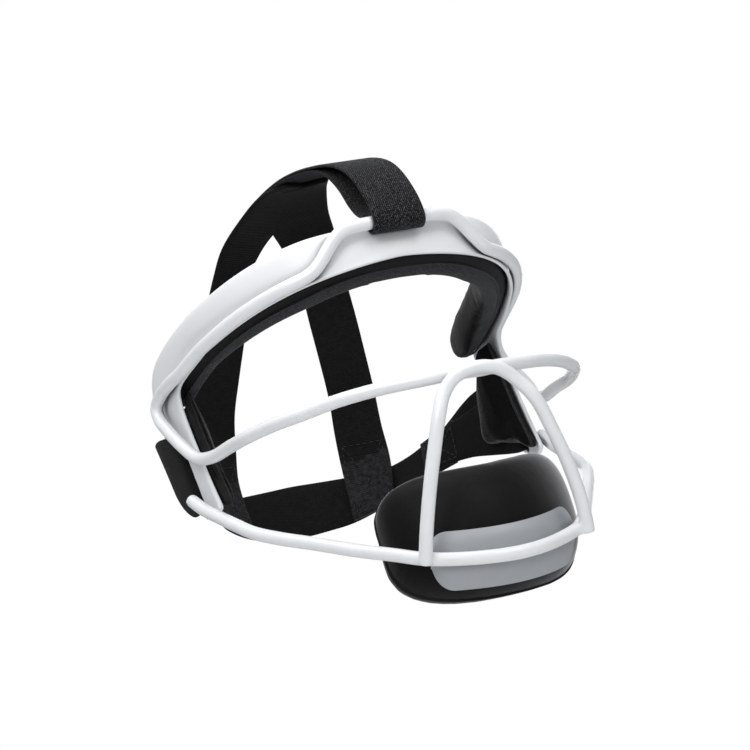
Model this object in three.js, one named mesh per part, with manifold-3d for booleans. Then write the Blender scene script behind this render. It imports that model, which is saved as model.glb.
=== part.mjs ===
// A softball fielder's mask, in its worn form, in millimetres.
// +X is the wearer's left, -Y is where the face looks, +Z is up. The origin is the middle of the head opening,
// at the height of the headband's lower rim: the place where the head sits.

import * as THREE from 'three';
import { mergeVertices } from 'three/addons/utils/BufferGeometryUtils.js';
import Module from 'manifold-3d';

const wasm = await Module();
wasm.setup();

// ---------------------------------------------------------------- driving dimensions

const GAP = 0.3;              // air left between pieces that touch on the real mask
const PAD_GAP = 0.4;          // behind the pads, whose facets are coarser than the band's

const WIRE_RADIUS = 2.8;      // coated steel wire
const WIRE_SIDES = 8;

const HALF_WIDTH = 81;        // inside of the headband at its widest
const FRONT_LENGTH = 129.2;   // from the widest place to the inside of the forehead
const BACK_LENGTH = 71;       // from the widest place to the back of the head
const WIDEST_Y = 19;
const FRONT_SQUARENESS = 2.5; // 2 would be an ellipse

const SEAT_WALL = 1.3;        // thin wall behind the wire
const FULL_WALL = 3;          // the wall outside the wire's seat
const PANEL_WALL = 2.3;       // side panels

const WEBBING_THICKNESS = 2;
const ELASTIC = 24.6;         // width of the top strap
const ELASTIC_OFF = -0.9;     // the top strap lies this far off the middle
const TAB_THICKNESS = 1.6;

const TUBE_STEP = 5.5;        // length of one straight piece of a bent wire

// ---------------------------------------------------------------- plan of the headband

// A point of the oval, by its turn from the middle of the forehead (0) to the back of the head (PI).
function ovalPoint(turn) {
  const front = Math.cos(turn) >= 0;
  const power = front ? 2 / FRONT_SQUARENESS : 1;
  const length = front ? FRONT_LENGTH : BACK_LENGTH;
  const across = Math.sign(Math.sin(turn)) * Math.abs(Math.sin(turn)) ** power;
  const along = Math.sign(Math.cos(turn)) * Math.abs(Math.cos(turn)) ** power;
  return new THREE.Vector2(HALF_WIDTH * across, WIDEST_Y - length * along);
}

const OVAL_SAMPLES = 720;
const oval = [];
for (let i = 0; i <= OVAL_SAMPLES; i++) {
  const point = ovalPoint((Math.PI * i) / OVAL_SAMPLES);
  const run = i ? oval[i - 1].run + point.distanceTo(oval[i - 1].point) : 0;
  oval.push({ point, run });
}

// A point beside the oval: run is the distance along it from the forehead (left positive), and out is the
// distance outward from the inside of the band.
function onBand(run, z, out = 0) {
  const side = Math.sign(run) || 1;
  const distance = Math.abs(run);
  let i = 1;
  while (i < OVAL_SAMPLES && oval[i].run < distance) i++;
  const share = (distance - oval[i - 1].run) / (oval[i].run - oval[i - 1].run);
  const point = oval[i - 1].point.clone().lerp(oval[i].point, share);
  const before = oval[Math.max(i - 3, 0)].point;
  const after = oval[Math.min(i + 2, OVAL_SAMPLES)].point;
  const along = i < 3 ? new THREE.Vector2(1, 0) : after.clone().sub(before).normalize();
  return new THREE.Vector3(side * (point.x + along.y * out), point.y - along.x * out, z);
}

// The distance along the oval at which it reaches a given y.
function runAt(y) {
  return oval.find((sample) => sample.point.y >= y).run;
}

// ---------------------------------------------------------------- helpers

function mix(a, b, share) {
  return a + (b - a) * share;
}

// A value from a table whose first column is the place; between rows it is eased.
function lookUp(rows, place, column) {
  const at = Math.abs(place);
  if (at <= rows[0][0]) return rows[0][column];
  for (let i = 1; i < rows.length; i++) {
    if (at <= rows[i][0]) {
      const share = (at - rows[i - 1][0]) / (rows[i][0] - rows[i - 1][0]);
      return mix(rows[i - 1][column], rows[i][column], share);
    }
  }
  return rows[rows.length - 1][column];
}

// Evenly spaced places from a to b.
function places(a, b, count) {
  return Array.from({ length: count + 1 }, (_, i) => mix(a, b, i / count));
}

function signedVolume(positions, index) {
  let volume = 0;
  const corner = (i) => new THREE.Vector3().fromArray(positions, 3 * i);
  for (let i = 0; i < index.length; i += 3) {
    const [a, b, c] = [corner(index[i]), corner(index[i + 1]), corner(index[i + 2])];
    volume += a.dot(b.cross(c)) / 6;
  }
  return volume;
}

// A closed solid through cross-sections that all have the same number of points. The first and last sections
// are capped, unless the loft is a ring.
function loft(sections, ring = false) {
  const count = sections[0].length;
  const positions = sections.flat().flatMap((p) => [p.x, p.y, p.z]);
  const index = [];
  const spans = ring ? sections.length : sections.length - 1;
  for (let i = 0; i < spans; i++) {
    const next = (i + 1) % sections.length;
    for (let j = 0; j < count; j++) {
      const k = (j + 1) % count;
      const [a, b, c, d] = [i * count + j, i * count + k, next * count + k, next * count + j];
      index.push(a, b, c, a, c, d);
    }
  }
  if (!ring) {
    const last = (sections.length - 1) * count;
    for (const [a, b, c] of capTriangles(sections[0])) index.push(a, c, b);
    for (const [a, b, c] of capTriangles(sections.at(-1))) index.push(last + a, last + b, last + c);
  }
  if (signedVolume(positions, index) < 0) index.reverse();
  const geometry = new THREE.BufferGeometry();
  geometry.setAttribute('position', new THREE.Float32BufferAttribute(positions, 3));
  geometry.setIndex(index);
  return geometry;
}

// Triangles that fill a flat closed outline, in the order in which its points run.
function capTriangles(section) {
  const normal = new THREE.Vector3();
  section.forEach((p, i) => normal.add(p.clone().cross(section[(i + 1) % section.length])));
  normal.normalize();
  const u = new THREE.Vector3().subVectors(section[1], section[0]);
  u.addScaledVector(normal, -u.dot(normal)).normalize();
  const v = normal.clone().cross(u);
  const flat = section.map((p) => new THREE.Vector2(p.dot(u), p.dot(v)));
  return THREE.ShapeUtils.triangulateShape(flat, []);
}

function toManifold(geometry) {
  const bare = geometry.clone();
  bare.deleteAttribute('normal');
  bare.deleteAttribute('uv');
  const merged = mergeVertices(bare, 1e-4);
  return new wasm.Manifold(new wasm.Mesh({
    numProp: 3,
    vertProperties: new Float32Array(merged.attributes.position.array),
    triVerts: new Uint32Array(merged.index.array),
  }));
}

function fromManifold(solid) {
  const mesh = solid.getMesh();
  const geometry = new THREE.BufferGeometry();
  geometry.setAttribute('position', new THREE.BufferAttribute(new Float32Array(mesh.vertProperties), 3));
  geometry.setIndex(new THREE.BufferAttribute(new Uint32Array(mesh.triVerts), 1));
  return geometry;
}

const mirrored = (points) => points.map((p) => new THREE.Vector3(-p.x, p.y, p.z));

// A round wire along a smooth curve through the points.
function wire(points) {
  const path = smooth(points);
  const round = new THREE.Shape().absarc(0, 0, WIRE_RADIUS, 0, 2 * Math.PI);
  const steps = Math.ceil(path.getLength() / TUBE_STEP);
  return new THREE.ExtrudeGeometry(round, {
    steps, curveSegments: WIRE_SIDES / 2, bevelEnabled: false, extrudePath: path,
  });
}

// A strip of webbing: each row holds one edge and the other edge, and half the thickness lies to either side.
function webbing(rows, thickness, perRow) {
  const pathA = smooth(rows.map((row) => new THREE.Vector3(row[0], row[1], row[2])));
  const pathB = smooth(rows.map((row) => new THREE.Vector3(row[3], row[4], row[5])));
  const sections = places(0, 1, (rows.length - 1) * perRow).map((share) => {
    const a = pathA.getPoint(share);
    const b = pathB.getPoint(share);
    const along = pathA.getTangent(share).add(pathB.getTangent(share));
    const normal = along.cross(b.clone().sub(a)).normalize().multiplyScalar(thickness / 2);
    const middle = a.clone().add(b).multiplyScalar(0.5);
    const front = [a, middle, b].map((p) => p.clone().add(normal));
    const back = [b, middle, a].map((p) => p.clone().sub(normal));
    return [...front, ...back];
  });
  return loft(sections);
}

function smooth(points, closed = false) {
  return new THREE.CatmullRomCurve3(points, closed, 'centripetal');
}

// ---------------------------------------------------------------- headband shell

// The wire along the rim of the band: it runs low over the temples and rises at the forehead, where it stands
// off the band so that the top strap can pass behind it.
// columns: run, wire height, wire's extra stand-off, top of the seat behind the wire
const RIM = [
  [0, 18.4, 2.3, 24],
  [21, 18.4, 2.3, 24],
  [27, 16.6, 2, 23],
  [32, 11.6, 1, 17],
  [37, 6.2, 0.3, 10.8],
  [42, 3.4, 0, 7.2],
  [48, 3, 0, 6.5],
];

// Lower and upper edge of the band over the forehead.
// columns: run, lower edge, upper edge
const BAND_EDGES = [
  [0, 3.2, 20],
  [14, 2.2, 20.2],
  [27, 1.2, 20.8],
  [41, 0.4, 21.5],
  [56, -0.1, 21.4],
  [70, -0.6, 21],
  [100, -1.6, 20],
];

// Side panel, from the temple down to its tip beside the jaw.
// columns: front y, front z, rear y, rear z
const PANEL = [
  [-40, -2.2, -40, 19.8],
  [-30, -3, -28, 19.2],
  [-22, -3.5, -16, 18.4],
  [-16, -4.2, -4, 17.2],
  [-13, -5.6, 7, 15.4],
  [-12, -8, 14.5, 11.5],
  [-11.4, -11.5, 18.3, 5.5],
  [-11.4, -16, 19.5, -3],
  [-12.2, -22, 19, -14],
  [-13.8, -32, 17, -28],
  [-15.8, -42, 13, -41],
  [-17.8, -52, 7, -53],
  [-19.8, -60, -3, -61.5],
  [-20.8, -64.2, -12, -65.6],
  [-20.6, -66.2, -17, -67.2],
];

// Where the outside points of a row lie between its lower or front edge and its upper or rear edge, and how
// thick the wall is there: first for the band with the wire's seat, then for the plain side panel.
function bandProfile(height, seatHeight) {
  const seat = Math.min(seatHeight / height, 0.84);
  const full = seatHeight > height ? SEAT_WALL + 0.2 : FULL_WALL;
  return [
    [0, 1.7], [1.1 / height, 1.9], [1.6 / height, SEAT_WALL], [seat, SEAT_WALL],
    [Math.min(seat + 1.6 / height, 0.88), full - 0.3], [mix(seat, 1, 0.5), full],
    [0.93, mix(SEAT_WALL, full, 0.6)], [1, 0.8],
  ];
}

const ROWS_TO_PLAIN = 4;      // rows over which the wire's seat fades out of the side panel
const PANEL_PROFILE = [
  [0, 1.6], [0.05, 2.2], [0.12, PANEL_WALL], [0.3, PANEL_WALL], [0.42, PANEL_WALL], [0.65, PANEL_WALL],
  [0.94, PANEL_WALL - 0.1], [1, 1.4],
];

function shellRow(front, rear, seatTop, plain) {
  const height = Math.hypot(rear.z - front.z, rear.run - front.run);
  const at = (share, out) => onBand(mix(front.run, rear.run, share), mix(front.z, rear.z, share), out);
  const outside = bandProfile(height, seatTop - front.z).map(([share, wall], i) =>
    at(mix(share, PANEL_PROFILE[i][0], plain), mix(wall, PANEL_PROFILE[i][1], plain)));
  const inside = [1, 0.55, 0.1, 0].map((share) => at(share, 0));
  return [...outside, ...inside];
}

function headbandShell() {
  const half = [];
  const bandEnd = runAt(PANEL[0][0]) - 4;
  const runs = [0, 7, 14, 21, 27, 32, 37, 42, 48, ...places(55, bandEnd, Math.ceil((bandEnd - 55) / 7))];
  for (const run of runs) {
    const lower = { run, z: lookUp(BAND_EDGES, run, 1) };
    const upper = { run, z: lookUp(BAND_EDGES, run, 2) };
    half.push([lower, upper, lookUp(RIM, run, 3), 0]);
  }
  const templeSeat = lookUp(RIM, bandEnd, 3);
  PANEL.forEach(([frontY, frontZ, rearY, rearZ], i) => {
    const front = { run: runAt(frontY), z: frontZ };
    const rear = { run: runAt(rearY), z: rearZ };
    half.push([front, rear, templeSeat, Math.min(i / ROWS_TO_PLAIN, 1)]);
  });
  const left = half.map((row) => shellRow(...row));
  const right = left.slice(1).reverse().map(mirrored);
  let shell = toManifold(loft([...right, ...left]));
  for (const side of [1, -1]) shell = shell.subtract(toManifold(slotCutter(side)));
  return fromManifold(shell);
}

// The slot in a side panel, through which the tab passes.
const SLOT = { topY: 0.5, topZ: -20, bottomY: -6.5, bottomZ: -62.5, width: 3.6 };

function slotCutter(side) {
  const length = Math.hypot(SLOT.topY - SLOT.bottomY, SLOT.topZ - SLOT.bottomZ);
  const cutter = new THREE.BoxGeometry(16, SLOT.width, length);
  cutter.rotateX(-Math.atan2(SLOT.topY - SLOT.bottomY, SLOT.topZ - SLOT.bottomZ));
  cutter.translate(side * HALF_WIDTH, (SLOT.topY + SLOT.bottomY) / 2, (SLOT.topZ + SLOT.bottomZ) / 2);
  return cutter;
}

// ---------------------------------------------------------------- face guard

const WIRE_OUT = SEAT_WALL + GAP + WIRE_RADIUS + 0.15; // wire's axis, outward from the inside of the band
const BAND_WIRE_END_Y = -42;  // up to here the rim loop keeps to its seat in the band

// The rim loop sinks along the band on the wearer's right, and the lip of the band then holds it further out.
const SINK_START = 44;
const BAND_SINK = { left: 0, right: 4.2 };
const LIP_RELIEF = 0.5;

// The rim loop at the temple, over the side panel and down, as on the left. It was bent by hand, and runs lower
// on the right.
// columns: x, y, z
const TEMPLE_BEND = {
  left: [
    [83.6, -25, 3.1],
    [85.6, -12, 3],
    [86.9, -1, 1.4],
    [87.5, 4.2, -3.8],
    [87.9, 3.2, -11.2],
  ],
  right: [
    [83.6, -28.8, -2.5],
    [85.6, -13.6, -1.8],
    [86.6, -1.8, -2.6],
    [87.3, 4.3, -5.5],
    [87.8, 3.2, -11.4],
  ],
};

// Left half of the rest of the rim loop: down beside the cheek, round the cheek corner, along the eye bar.
// columns: x, y, z
const CHEEK_AND_EYE_BAR = [
  [88, -4.2, -20.6],
  [87.4, -13.5, -31.4],
  [85.4, -22.8, -41.6],
  [82.9, -35, -46.3],
  [80.7, -51.1, -48.8],
  [78.6, -70.4, -52.2],
  [72.7, -88.6, -55.2],
  [65.2, -103.5, -58],
  [53.7, -116.8, -59.5],
  [39, -129, -61.8],
  [23.1, -138.9, -64.6],
  [7.5, -144.9, -66.4],
  [-1, -146.2, -67.2],
];

// Left half of the nose loop, from its top to its foot in front of the jaw bar.
// columns: x, y, z
const NOSE_LOOP = [
  [-1, -150.4, -67.2],
  [4.7, -150.2, -67.6],
  [11.3, -149.2, -69.8],
  [17.1, -147.6, -75],
  [22.5, -146.5, -83.9],
  [27.3, -141, -95.9],
  [32.6, -133.2, -111],
  [36.5, -124.5, -125.3],
  [38.6, -116.1, -137],
];
// how far the loop stands to the wearer's right: it was bent by hand and isn't quite in the middle
const NOSE_LOOP_LEAN = { top: -3.5, feet: 0.5 };

// Left half of the jaw bar, from the middle of the chin to its end beside the panel tip.
// columns: x, y, z
const JAW_BAR = [
  [-1, -126.5, -142.6],
  [8.9, -125.6, -141.9],
  [18.2, -122.5, -140],
  [27.6, -118.1, -137.1],
  [36.1, -113.5, -133.6],
  [45.2, -104.7, -126.7],
  [55.3, -91, -117.5],
  [66, -76.4, -106.9],
  [75.5, -63.1, -97.6],
  [81.8, -52.4, -89.7],
  [84.5, -42.1, -81.8],
  [85.9, -29.3, -72.8],
  [87.5, -16.5, -63.4],
  [88.6, -8, -55.4],
];

// Half of the rim loop, as on the left.
function rimLoopHalf(templeBend, sink) {
  const end = runAt(BAND_WIRE_END_Y);
  const runs = [-1, 8, 16, 21.5, 25.5, 30, 35, 39.5, 43.5, 48, ...places(58, end, 4)];
  const rim = runs.map((run) => {
    const sunk = (sink * Math.max(run - SINK_START, 0)) / (end - SINK_START);
    const standOff = lookUp(RIM, run, 2) + Math.min(sunk * 0.4, LIP_RELIEF);
    return onBand(run, lookUp(RIM, run, 1) - sunk, WIRE_OUT + standOff);
  });
  return [...rim, ...vectors(templeBend), ...vectors(CHEEK_AND_EYE_BAR)];
}

function vectors(rows) {
  return rows.map(([x, y, z]) => new THREE.Vector3(x, y, z));
}

function faceGuard() {
  const jawBar = vectors(JAW_BAR);
  const wires = [
    wire(rimLoopHalf(TEMPLE_BEND.left, BAND_SINK.left)),
    wire(mirrored(rimLoopHalf(TEMPLE_BEND.right, BAND_SINK.right))),
    wire(jawBar),
    wire(mirrored(jawBar)),
  ];
  const loop = vectors(NOSE_LOOP);
  const [top, foot] = [loop[0].z, loop.at(-1).z];
  const lean = (p) => {
    const down = (top - p.z) / (top - foot);
    return p.clone().setX(p.x + mix(NOSE_LOOP_LEAN.top, NOSE_LOOP_LEAN.feet, down));
  };
  for (const half of [loop, mirrored(loop)]) wires.push(wire(half.map(lean)));
  return fromManifold(wasm.Manifold.union(wires.map(toManifold)));
}

// ---------------------------------------------------------------- pads

// Forehead pad along the band, with a soft lobe behind each temple.
// columns: y of the band, seam height, lowest, highest, stand-off from the band, thickness
const FOREHEAD_PAD = [
  [-110.2, 0.8, -3.2, 11, 0, 13],
  [-105, -0.6, -4, 17, 0, 15],
  [-95, -2, -4.6, 18.5, 0, 16.5],
  [-75, -2, -4.6, 18.6, 0, 15],
  [-50, -2.2, -4.6, 18.2, 0, 13.6],
  [-28, -3.2, -4.8, 18, 0, 13],
  [-12, -4.4, -6.4, 17.6, 0, 12.2],
  [2, -5.4, -7.6, 16.6, 0, 11.2],
  [13, -3, -5, 15, 0.2, 9.4],
  [21, 1, -1, 13, 1, 7.2],
  [25.5, 4.6, 3, 10.6, 2, 4.6],
];

const SEAM_INWARD = 5.2;      // how far inward of the pad's outside the seam runs

// Cross-section of the pad: how far inward, as a share of its thickness, and how high. The side runs from the
// band's rim down to the seam and the lining bulges below it.
function padSection(seam, low, high, thickness) {
  const up = (share) => mix(low, high, share);
  const seamIn = Math.min(SEAM_INWARD / thickness, 0.5);
  return [
    [0, mix(seam, high, 0.16)], [seamIn, seam], [mix(seamIn, 1, 0.3), mix(seam, low, 0.75)], [0.85, low],
    [0.98, up(0.12)], [1, up(0.36)], [1, up(0.7)], [0.9, up(0.92)], [0.62, high], [0, up(0.97)],
  ];
}

function foreheadPad() {
  const left = denser(FOREHEAD_PAD, 2).map(([y, seam, low, high, standOff, thickness], i) =>
    padSection(seam, low, high, thickness).map(([inward, z]) =>
      onBand(i ? runAt(y) : 0, z, -PAD_GAP - standOff - inward * thickness)));
  const right = left.slice(1).reverse().map(mirrored);
  return loft([...right, ...left]);
}

// A table with extra rows between its own, eased by a smooth curve in every column.
function denser(rows, per) {
  const out = [];
  for (let i = 0; i < rows.length - 1; i++) {
    const [before, a, b] = [rows[Math.max(i - 1, 0)], rows[i], rows[i + 1]];
    const after = rows[Math.min(i + 2, rows.length - 1)];
    for (let k = 0; k < per; k++) {
      const t = k / per;
      out.push(a.map((value, column) => {
        const rise = b[column] - value;
        const leave = (b[column] - before[column]) / 2;
        const arrive = (after[column] - value) / 2;
        const square = 3 * rise - 2 * leave - arrive;
        const cube = leave + arrive - 2 * rise;
        return value + t * leave + t ** 2 * square + t ** 3 * cube;
      }));
    }
  }
  out.push(rows[rows.length - 1]);
  return out;
}

// Cheek pad, from its top under the temple to its tip. Its front edge stands a little in front of the panel.
// columns: front y, front z, rear y, rear z, thickness
const CHEEK_PAD = [
  [-12, -8.4, 0, -11, 5],
  [-12.6, -14, 6, -17, 6.8],
  [-14.4, -23.5, 12.5, -25, 7.6],
  [-16.6, -34.5, 16, -36, 8],
  [-18.6, -44, 18.5, -44, 8],
  [-20.4, -51, 14.5, -49, 8],
  [-21.8, -57, 5, -52.5, 7.8],
  [-22.8, -61, -5, -57, 7],
  [-22.8, -64, -13.5, -62, 6],
  [-21.8, -65.6, -17, -64.6, 4],
];
const PIPING_DEPTH = 4;       // how far inward from the band the piping at its front edge lies

// Room behind the cheek pad for the tab that comes through the slot.
// columns: y, distance from the band
const TAB_ROOM = [
  [-8.5, PAD_GAP],
  [-6, 3.5],
  [2, 4],
  [6, 4.5],
  [12, 5.4],
  [20, 7.4],
];

function cheekPad(side) {
  const sections = denser(CHEEK_PAD, 2).map(([frontY, frontZ, rearY, rearZ, thickness]) => {
    const [frontRun, rearRun] = [runAt(frontY), runAt(rearY)];
    const at = (share, thick) => {
      const run = mix(frontRun, rearRun, share);
      const y = onBand(run, 0).y;
      const room = y < TAB_ROOM[0][0] ? PAD_GAP : roomAt(y);
      const inward = share === 0 ? PIPING_DEPTH : room + thick;
      const point = onBand(run, mix(frontZ, rearZ, share), -inward);
      return point.setX(side * point.x);
    };
    return [
      at(0, 0), at(0.1, thickness * 0.85), at(0.3, thickness), at(0.6, thickness * 0.9),
      at(0.88, thickness * 0.6), at(1, thickness * 0.3), at(1, 0), at(0.72, 0), at(0.45, 0), at(0.12, 0),
    ];
  });
  return loft(sections);
}

function roomAt(y) {
  let i = 1;
  while (i < TAB_ROOM.length - 1 && TAB_ROOM[i][0] < y) i++;
  const [[y0, room0], [y1, room1]] = [TAB_ROOM[i - 1], TAB_ROOM[i]];
  return mix(room0, room1, Math.min((y - y0) / (y1 - y0), 1));
}

// Chin pad: its section in the middle of the chin, going round from the top of its back.
// columns: y, z
const CHIN_PAD_SECTION = [
  [-98, -99], [-103, -95], [-110, -94.8], [-116.3, -100.5], [-119.8, -110], [-120.9, -122],
  [-120.4, -132], [-118.4, -140.2], [-113.8, -146.8], [-106, -151.6], [-98, -153.2], [-90.5, -151],
  [-87, -142.5], [-89.5, -126], [-93.5, -108],
];
const CHIN_PAD = {
  halfWidth: 48.1, offCentre: 6.8, middleY: -105, middleZ: -126, bend: 46, rise: 10.6, fullness: 3.6,
};

function chinPad() {
  const { halfWidth, offCentre, middleY, middleZ, bend, rise, fullness } = CHIN_PAD;
  const sections = places(-1, 1, 24).map((turn) => {
    const width = Math.sin((turn * Math.PI) / 2);
    const x = offCentre + halfWidth * width;
    const shrink = (1 - Math.min(Math.abs(width), 0.998) ** fullness) ** (1 / fullness);
    const atY = middleY + (x * x) / (2 * bend);
    const atZ = middleZ + rise * (x / halfWidth) ** 2;
    return CHIN_PAD_SECTION.map(([y, z]) => new THREE.Vector3(
      x, atY + (y - middleY) * shrink, atZ + (z - middleZ) * shrink));
  });
  return loft(sections);
}

// Chin plate: its front face in the middle of the chin, from top to bottom. It passes just behind the jaw bar.
// columns: y, z
const CHIN_PLATE_SECTION = [
  [-123.9, -128.6], [-124.2, -132.6], [-123.2, -137.2], [-122.5, -142.6], [-120.3, -147],
  [-114.3, -151.8],
];
const CHIN_PLATE = {
  halfWidth: 35.5, offCentre: 2.6, thickness: 2, corner: 8.5, bend: 46, rise: 7.8, middleY: -123, middleZ: -140.2,
};

function chinPlate() {
  const sections = [];
  const { halfWidth, offCentre, thickness, corner, bend, rise, middleY, middleZ } = CHIN_PLATE;
  const reaches = places(-1, 1, 22).map((turn) => halfWidth * Math.sin((turn * Math.PI) / 2));
  for (const reach of reaches) {
    const inCorner = Math.max(Math.abs(reach) - (halfWidth - corner), 0) / corner;
    const x = reach + offCentre;
    const shrink = Math.max(Math.sqrt(Math.max(1 - inCorner ** 2.2, 0)), 0.3);
    const atY = middleY + (x * x) / (2 * bend);
    const atZ = middleZ + rise * (x / halfWidth) ** 2;
    const front = CHIN_PLATE_SECTION.map(([y, z]) => new THREE.Vector3(
      x, atY + (y - middleY) * shrink, atZ + (z - middleZ) * shrink));
    const rear = front.map((p, i) => {
      const before = front[Math.max(i - 1, 0)];
      const after = front[Math.min(i + 1, front.length - 1)];
      const along = after.clone().sub(before).normalize().multiplyScalar(thickness);
      return new THREE.Vector3(x, p.y - along.z, p.z + along.y);
    });
    sections.push([...front, ...rear.reverse()]);
  }
  return loft(sections);
}

// ---------------------------------------------------------------- straps

// Top strap in side view: from the fold under the raised wire, the outer ply runs up in front of the wire and
// over the crown, the inner ply comes up behind the wire, and the two are sewn together over the forehead.
// columns: y, z
const STRAP_OUTER = [
  [-112, 16.6], [-113.8, 13.6], [-117.4, 12.9], [-121.3, 14.9], [-122, 19], [-121, 26], [-118.4, 33],
  [-114.4, 41], [-108.5, 48.6], [-100, 55.5], [-88, 62], [-74, 68], [-58, 74], [-40, 79.5], [-24, 83],
  [-8, 85.5], [4, 86.5],
];
const STRAP_UNDER = [
  [4, 84.6], [-8, 83.6], [-24, 81], [-40, 77.4], [-58, 71.8], [-72, 66], [-83, 59], [-90, 52], [-96, 43.6],
  [-100.6, 33.5], [-104.8, 27], [-109.6, 23.2], [-112, 20],
];
const STRAP_HOLLOW = [
  [-88, 60], [-99, 53.6], [-107.2, 47], [-112.8, 39.8], [-116.7, 32.2], [-119.3, 25], [-120.2, 19],
  [-119.3, 15.6], [-116.4, 14.6], [-113.5, 16.6], [-113.2, 20.8], [-111, 24.6], [-106.2, 28.6],
  [-102, 34.4], [-97.6, 44.4], [-92.4, 53],
];

function topStrap() {
  const outline = (rows, closed) => smooth(rows.map(([y, z]) => new THREE.Vector3(y, z, 0)), closed)
    .getPoints(Math.round(rows.length * 1.6))
    .map((p) => new THREE.Vector2(p.x, p.y));
  const shape = new THREE.Shape([...outline(STRAP_OUTER, false), ...outline(STRAP_UNDER, false)]);
  shape.holes.push(new THREE.Path(outline(STRAP_HOLLOW, true).slice(0, -1)));
  const strap = new THREE.ExtrudeGeometry(shape, { depth: ELASTIC, bevelEnabled: false, steps: 1 });
  // the shape lies in a plane of its own (y, z): turn it into the side view, with its depth along X
  strap.applyMatrix4(new THREE.Matrix4().makeBasis(
    new THREE.Vector3(0, 1, 0), new THREE.Vector3(0, 0, 1), new THREE.Vector3(1, 0, 0)));
  strap.translate(ELASTIC_OFF - ELASTIC / 2, 0, 0);
  return strap;
}

// A leg of the crown yoke, from under the top strap down the back of the head, as on the left side.
// columns: inner edge x, y, z, outer edge x, y, z
const CROWN_LEG = [
  [-8.6, -26.4, 79.1, 10.6, -39.3, 76.2],
  [-6.4, -8.2, 81.8, 17, -20.6, 80],
  [-3.4, 12, 79.4, 23.6, 0, 76.8],
  [4.6, 24.6, 73.2, 29.6, 13.8, 70.6],
  [11, 32, 64.6, 33.1, 25.8, 61.9],
  [14.2, 38.8, 53.2, 37.2, 35.6, 50.8],
  [17.1, 47.8, 39.4, 41.7, 47.2, 38.4],
  [21.4, 60.1, 23.2, 45.6, 58.8, 23],
  [25.1, 71.8, 7.9, 48.2, 67.6, 7.4],
];
// Its lower end, sewn to the inside of the back strap. The right leg splays a little wider.
const LEG_END_LEFT = [
  [25.8, 79.7, -7.8, 47.6, 70.8, -10],
  [25.4, 82.7, -22, 46.8, 71.2, -26.6],
  [24, 82.6, -40.4, 43.4, 70.2, -42],
  [23.2, 82.9, -52.2, 40.5, 70.4, -50.5],
];
const LEG_END_RIGHT = [
  [27.4, 78.5, -8.1, 49.6, 68, -10.4],
  [29.9, 80.7, -22.2, 50.8, 65.9, -27.8],
  [30.5, 79.7, -38, 48.3, 64.8, -43],
  [30, 78.7, -49.5, 44.8, 65.2, -49],
];

function crownYoke() {
  const flip = ([ix, iy, iz, ox, oy, oz]) => [-ix, iy, iz, -ox, oy, oz];
  const left = webbing([...CROWN_LEG, ...LEG_END_LEFT], WEBBING_THICKNESS, 2);
  const right = webbing([...CROWN_LEG, ...LEG_END_RIGHT].map(flip), WEBBING_THICKNESS, 2);
  return fromManifold(toManifold(left).add(toManifold(right)));
}

// Left half of the back strap, from the middle of the back to the end between the plies of the side tab.
// Towards the sides its lower edge leans in to the neck.
// columns: upper edge x, y, z, lower edge x, y, z
const BACK_STRAP = [
  [0, 89.5, -27, 0, 90, -53.5],
  [12, 89, -27.5, 12, 89.2, -53],
  [24, 86.8, -28.5, 24, 86.4, -52.4],
  [36, 81.6, -30.3, 35.6, 80.4, -50.4],
  [46, 76, -31, 44.2, 72.8, -48.2],
  [54, 67, -30.4, 50.9, 62.8, -47],
  [60, 58.5, -28.8, 56.4, 54.8, -46.6],
  [65, 50.5, -27.4, 61.4, 47, -46.4],
  [69, 43, -26.6, 65.5, 40, -46.4],
];

function backStrap() {
  const flip = ([ux, uy, uz, lx, ly, lz]) => [-ux, uy, uz, -lx, ly, lz];
  return webbing([...BACK_STRAP.slice(1).reverse().map(flip), ...BACK_STRAP], WEBBING_THICKNESS, 2);
}

// Side tab, as on the left: from the sewn end of its inner ply forward inside the panel, out through the slot,
// and back outside to its other sewn end. It narrows from the slot to the width of the back strap.
// columns: upper edge x, y, z, lower edge x, y, z
const SIDE_TAB = [
  [58.3, 57.2, -28.2, 54.4, 53.4, -45.8],
  [63.2, 49.4, -27, 59.4, 45.8, -45.8],
  [67.2, 41.9, -26.4, 63.6, 38.8, -46.4],
  [71.7, 33.5, -26, 69.3, 30, -48.4],
  [75.9, 24, -25.6, 74.3, 19.5, -52.6],
  [78.3, 14, -24.8, 77.4, 8, -57.2],
  [79, 5, -23, 78.6, -1.5, -60.4],
  [79.4, 1.6, -22, 79.3, -5, -61],
  [80.3, 0.3, -22, 80.2, -6.2, -61],
  [81.8, -0.1, -22, 81.7, -6.6, -61],
  [83.3, 0.4, -21.8, 83.2, -6, -61.1],
  [84.1, 1.9, -21.4, 84.1, -4.4, -61.3],
  [85.2, 10, -18.5, 84.9, 3, -60.4],
  [85.8, 18, -16.4, 85.3, 10.4, -54.2],
  [84.6, 26, -15.4, 84.4, 18, -45],
  [81, 33, -16, 81.4, 26, -39.8],
  [76.8, 39.5, -18.6, 76, 33.8, -39.4],
  [72.2, 45.6, -22.4, 69.4, 41.6, -42],
  [67.4, 51.9, -26, 63.9, 48.6, -44.6],
  [62.3, 60, -28.6, 58.9, 56.6, -45.6],
];

function sideTab(side) {
  const rows = SIDE_TAB.map(([ux, uy, uz, lx, ly, lz]) => [side * ux, uy, uz, side * lx, ly, lz]);
  return webbing(rows, TAB_THICKNESS, 2);
}

// ---------------------------------------------------------------- the mask

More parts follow.
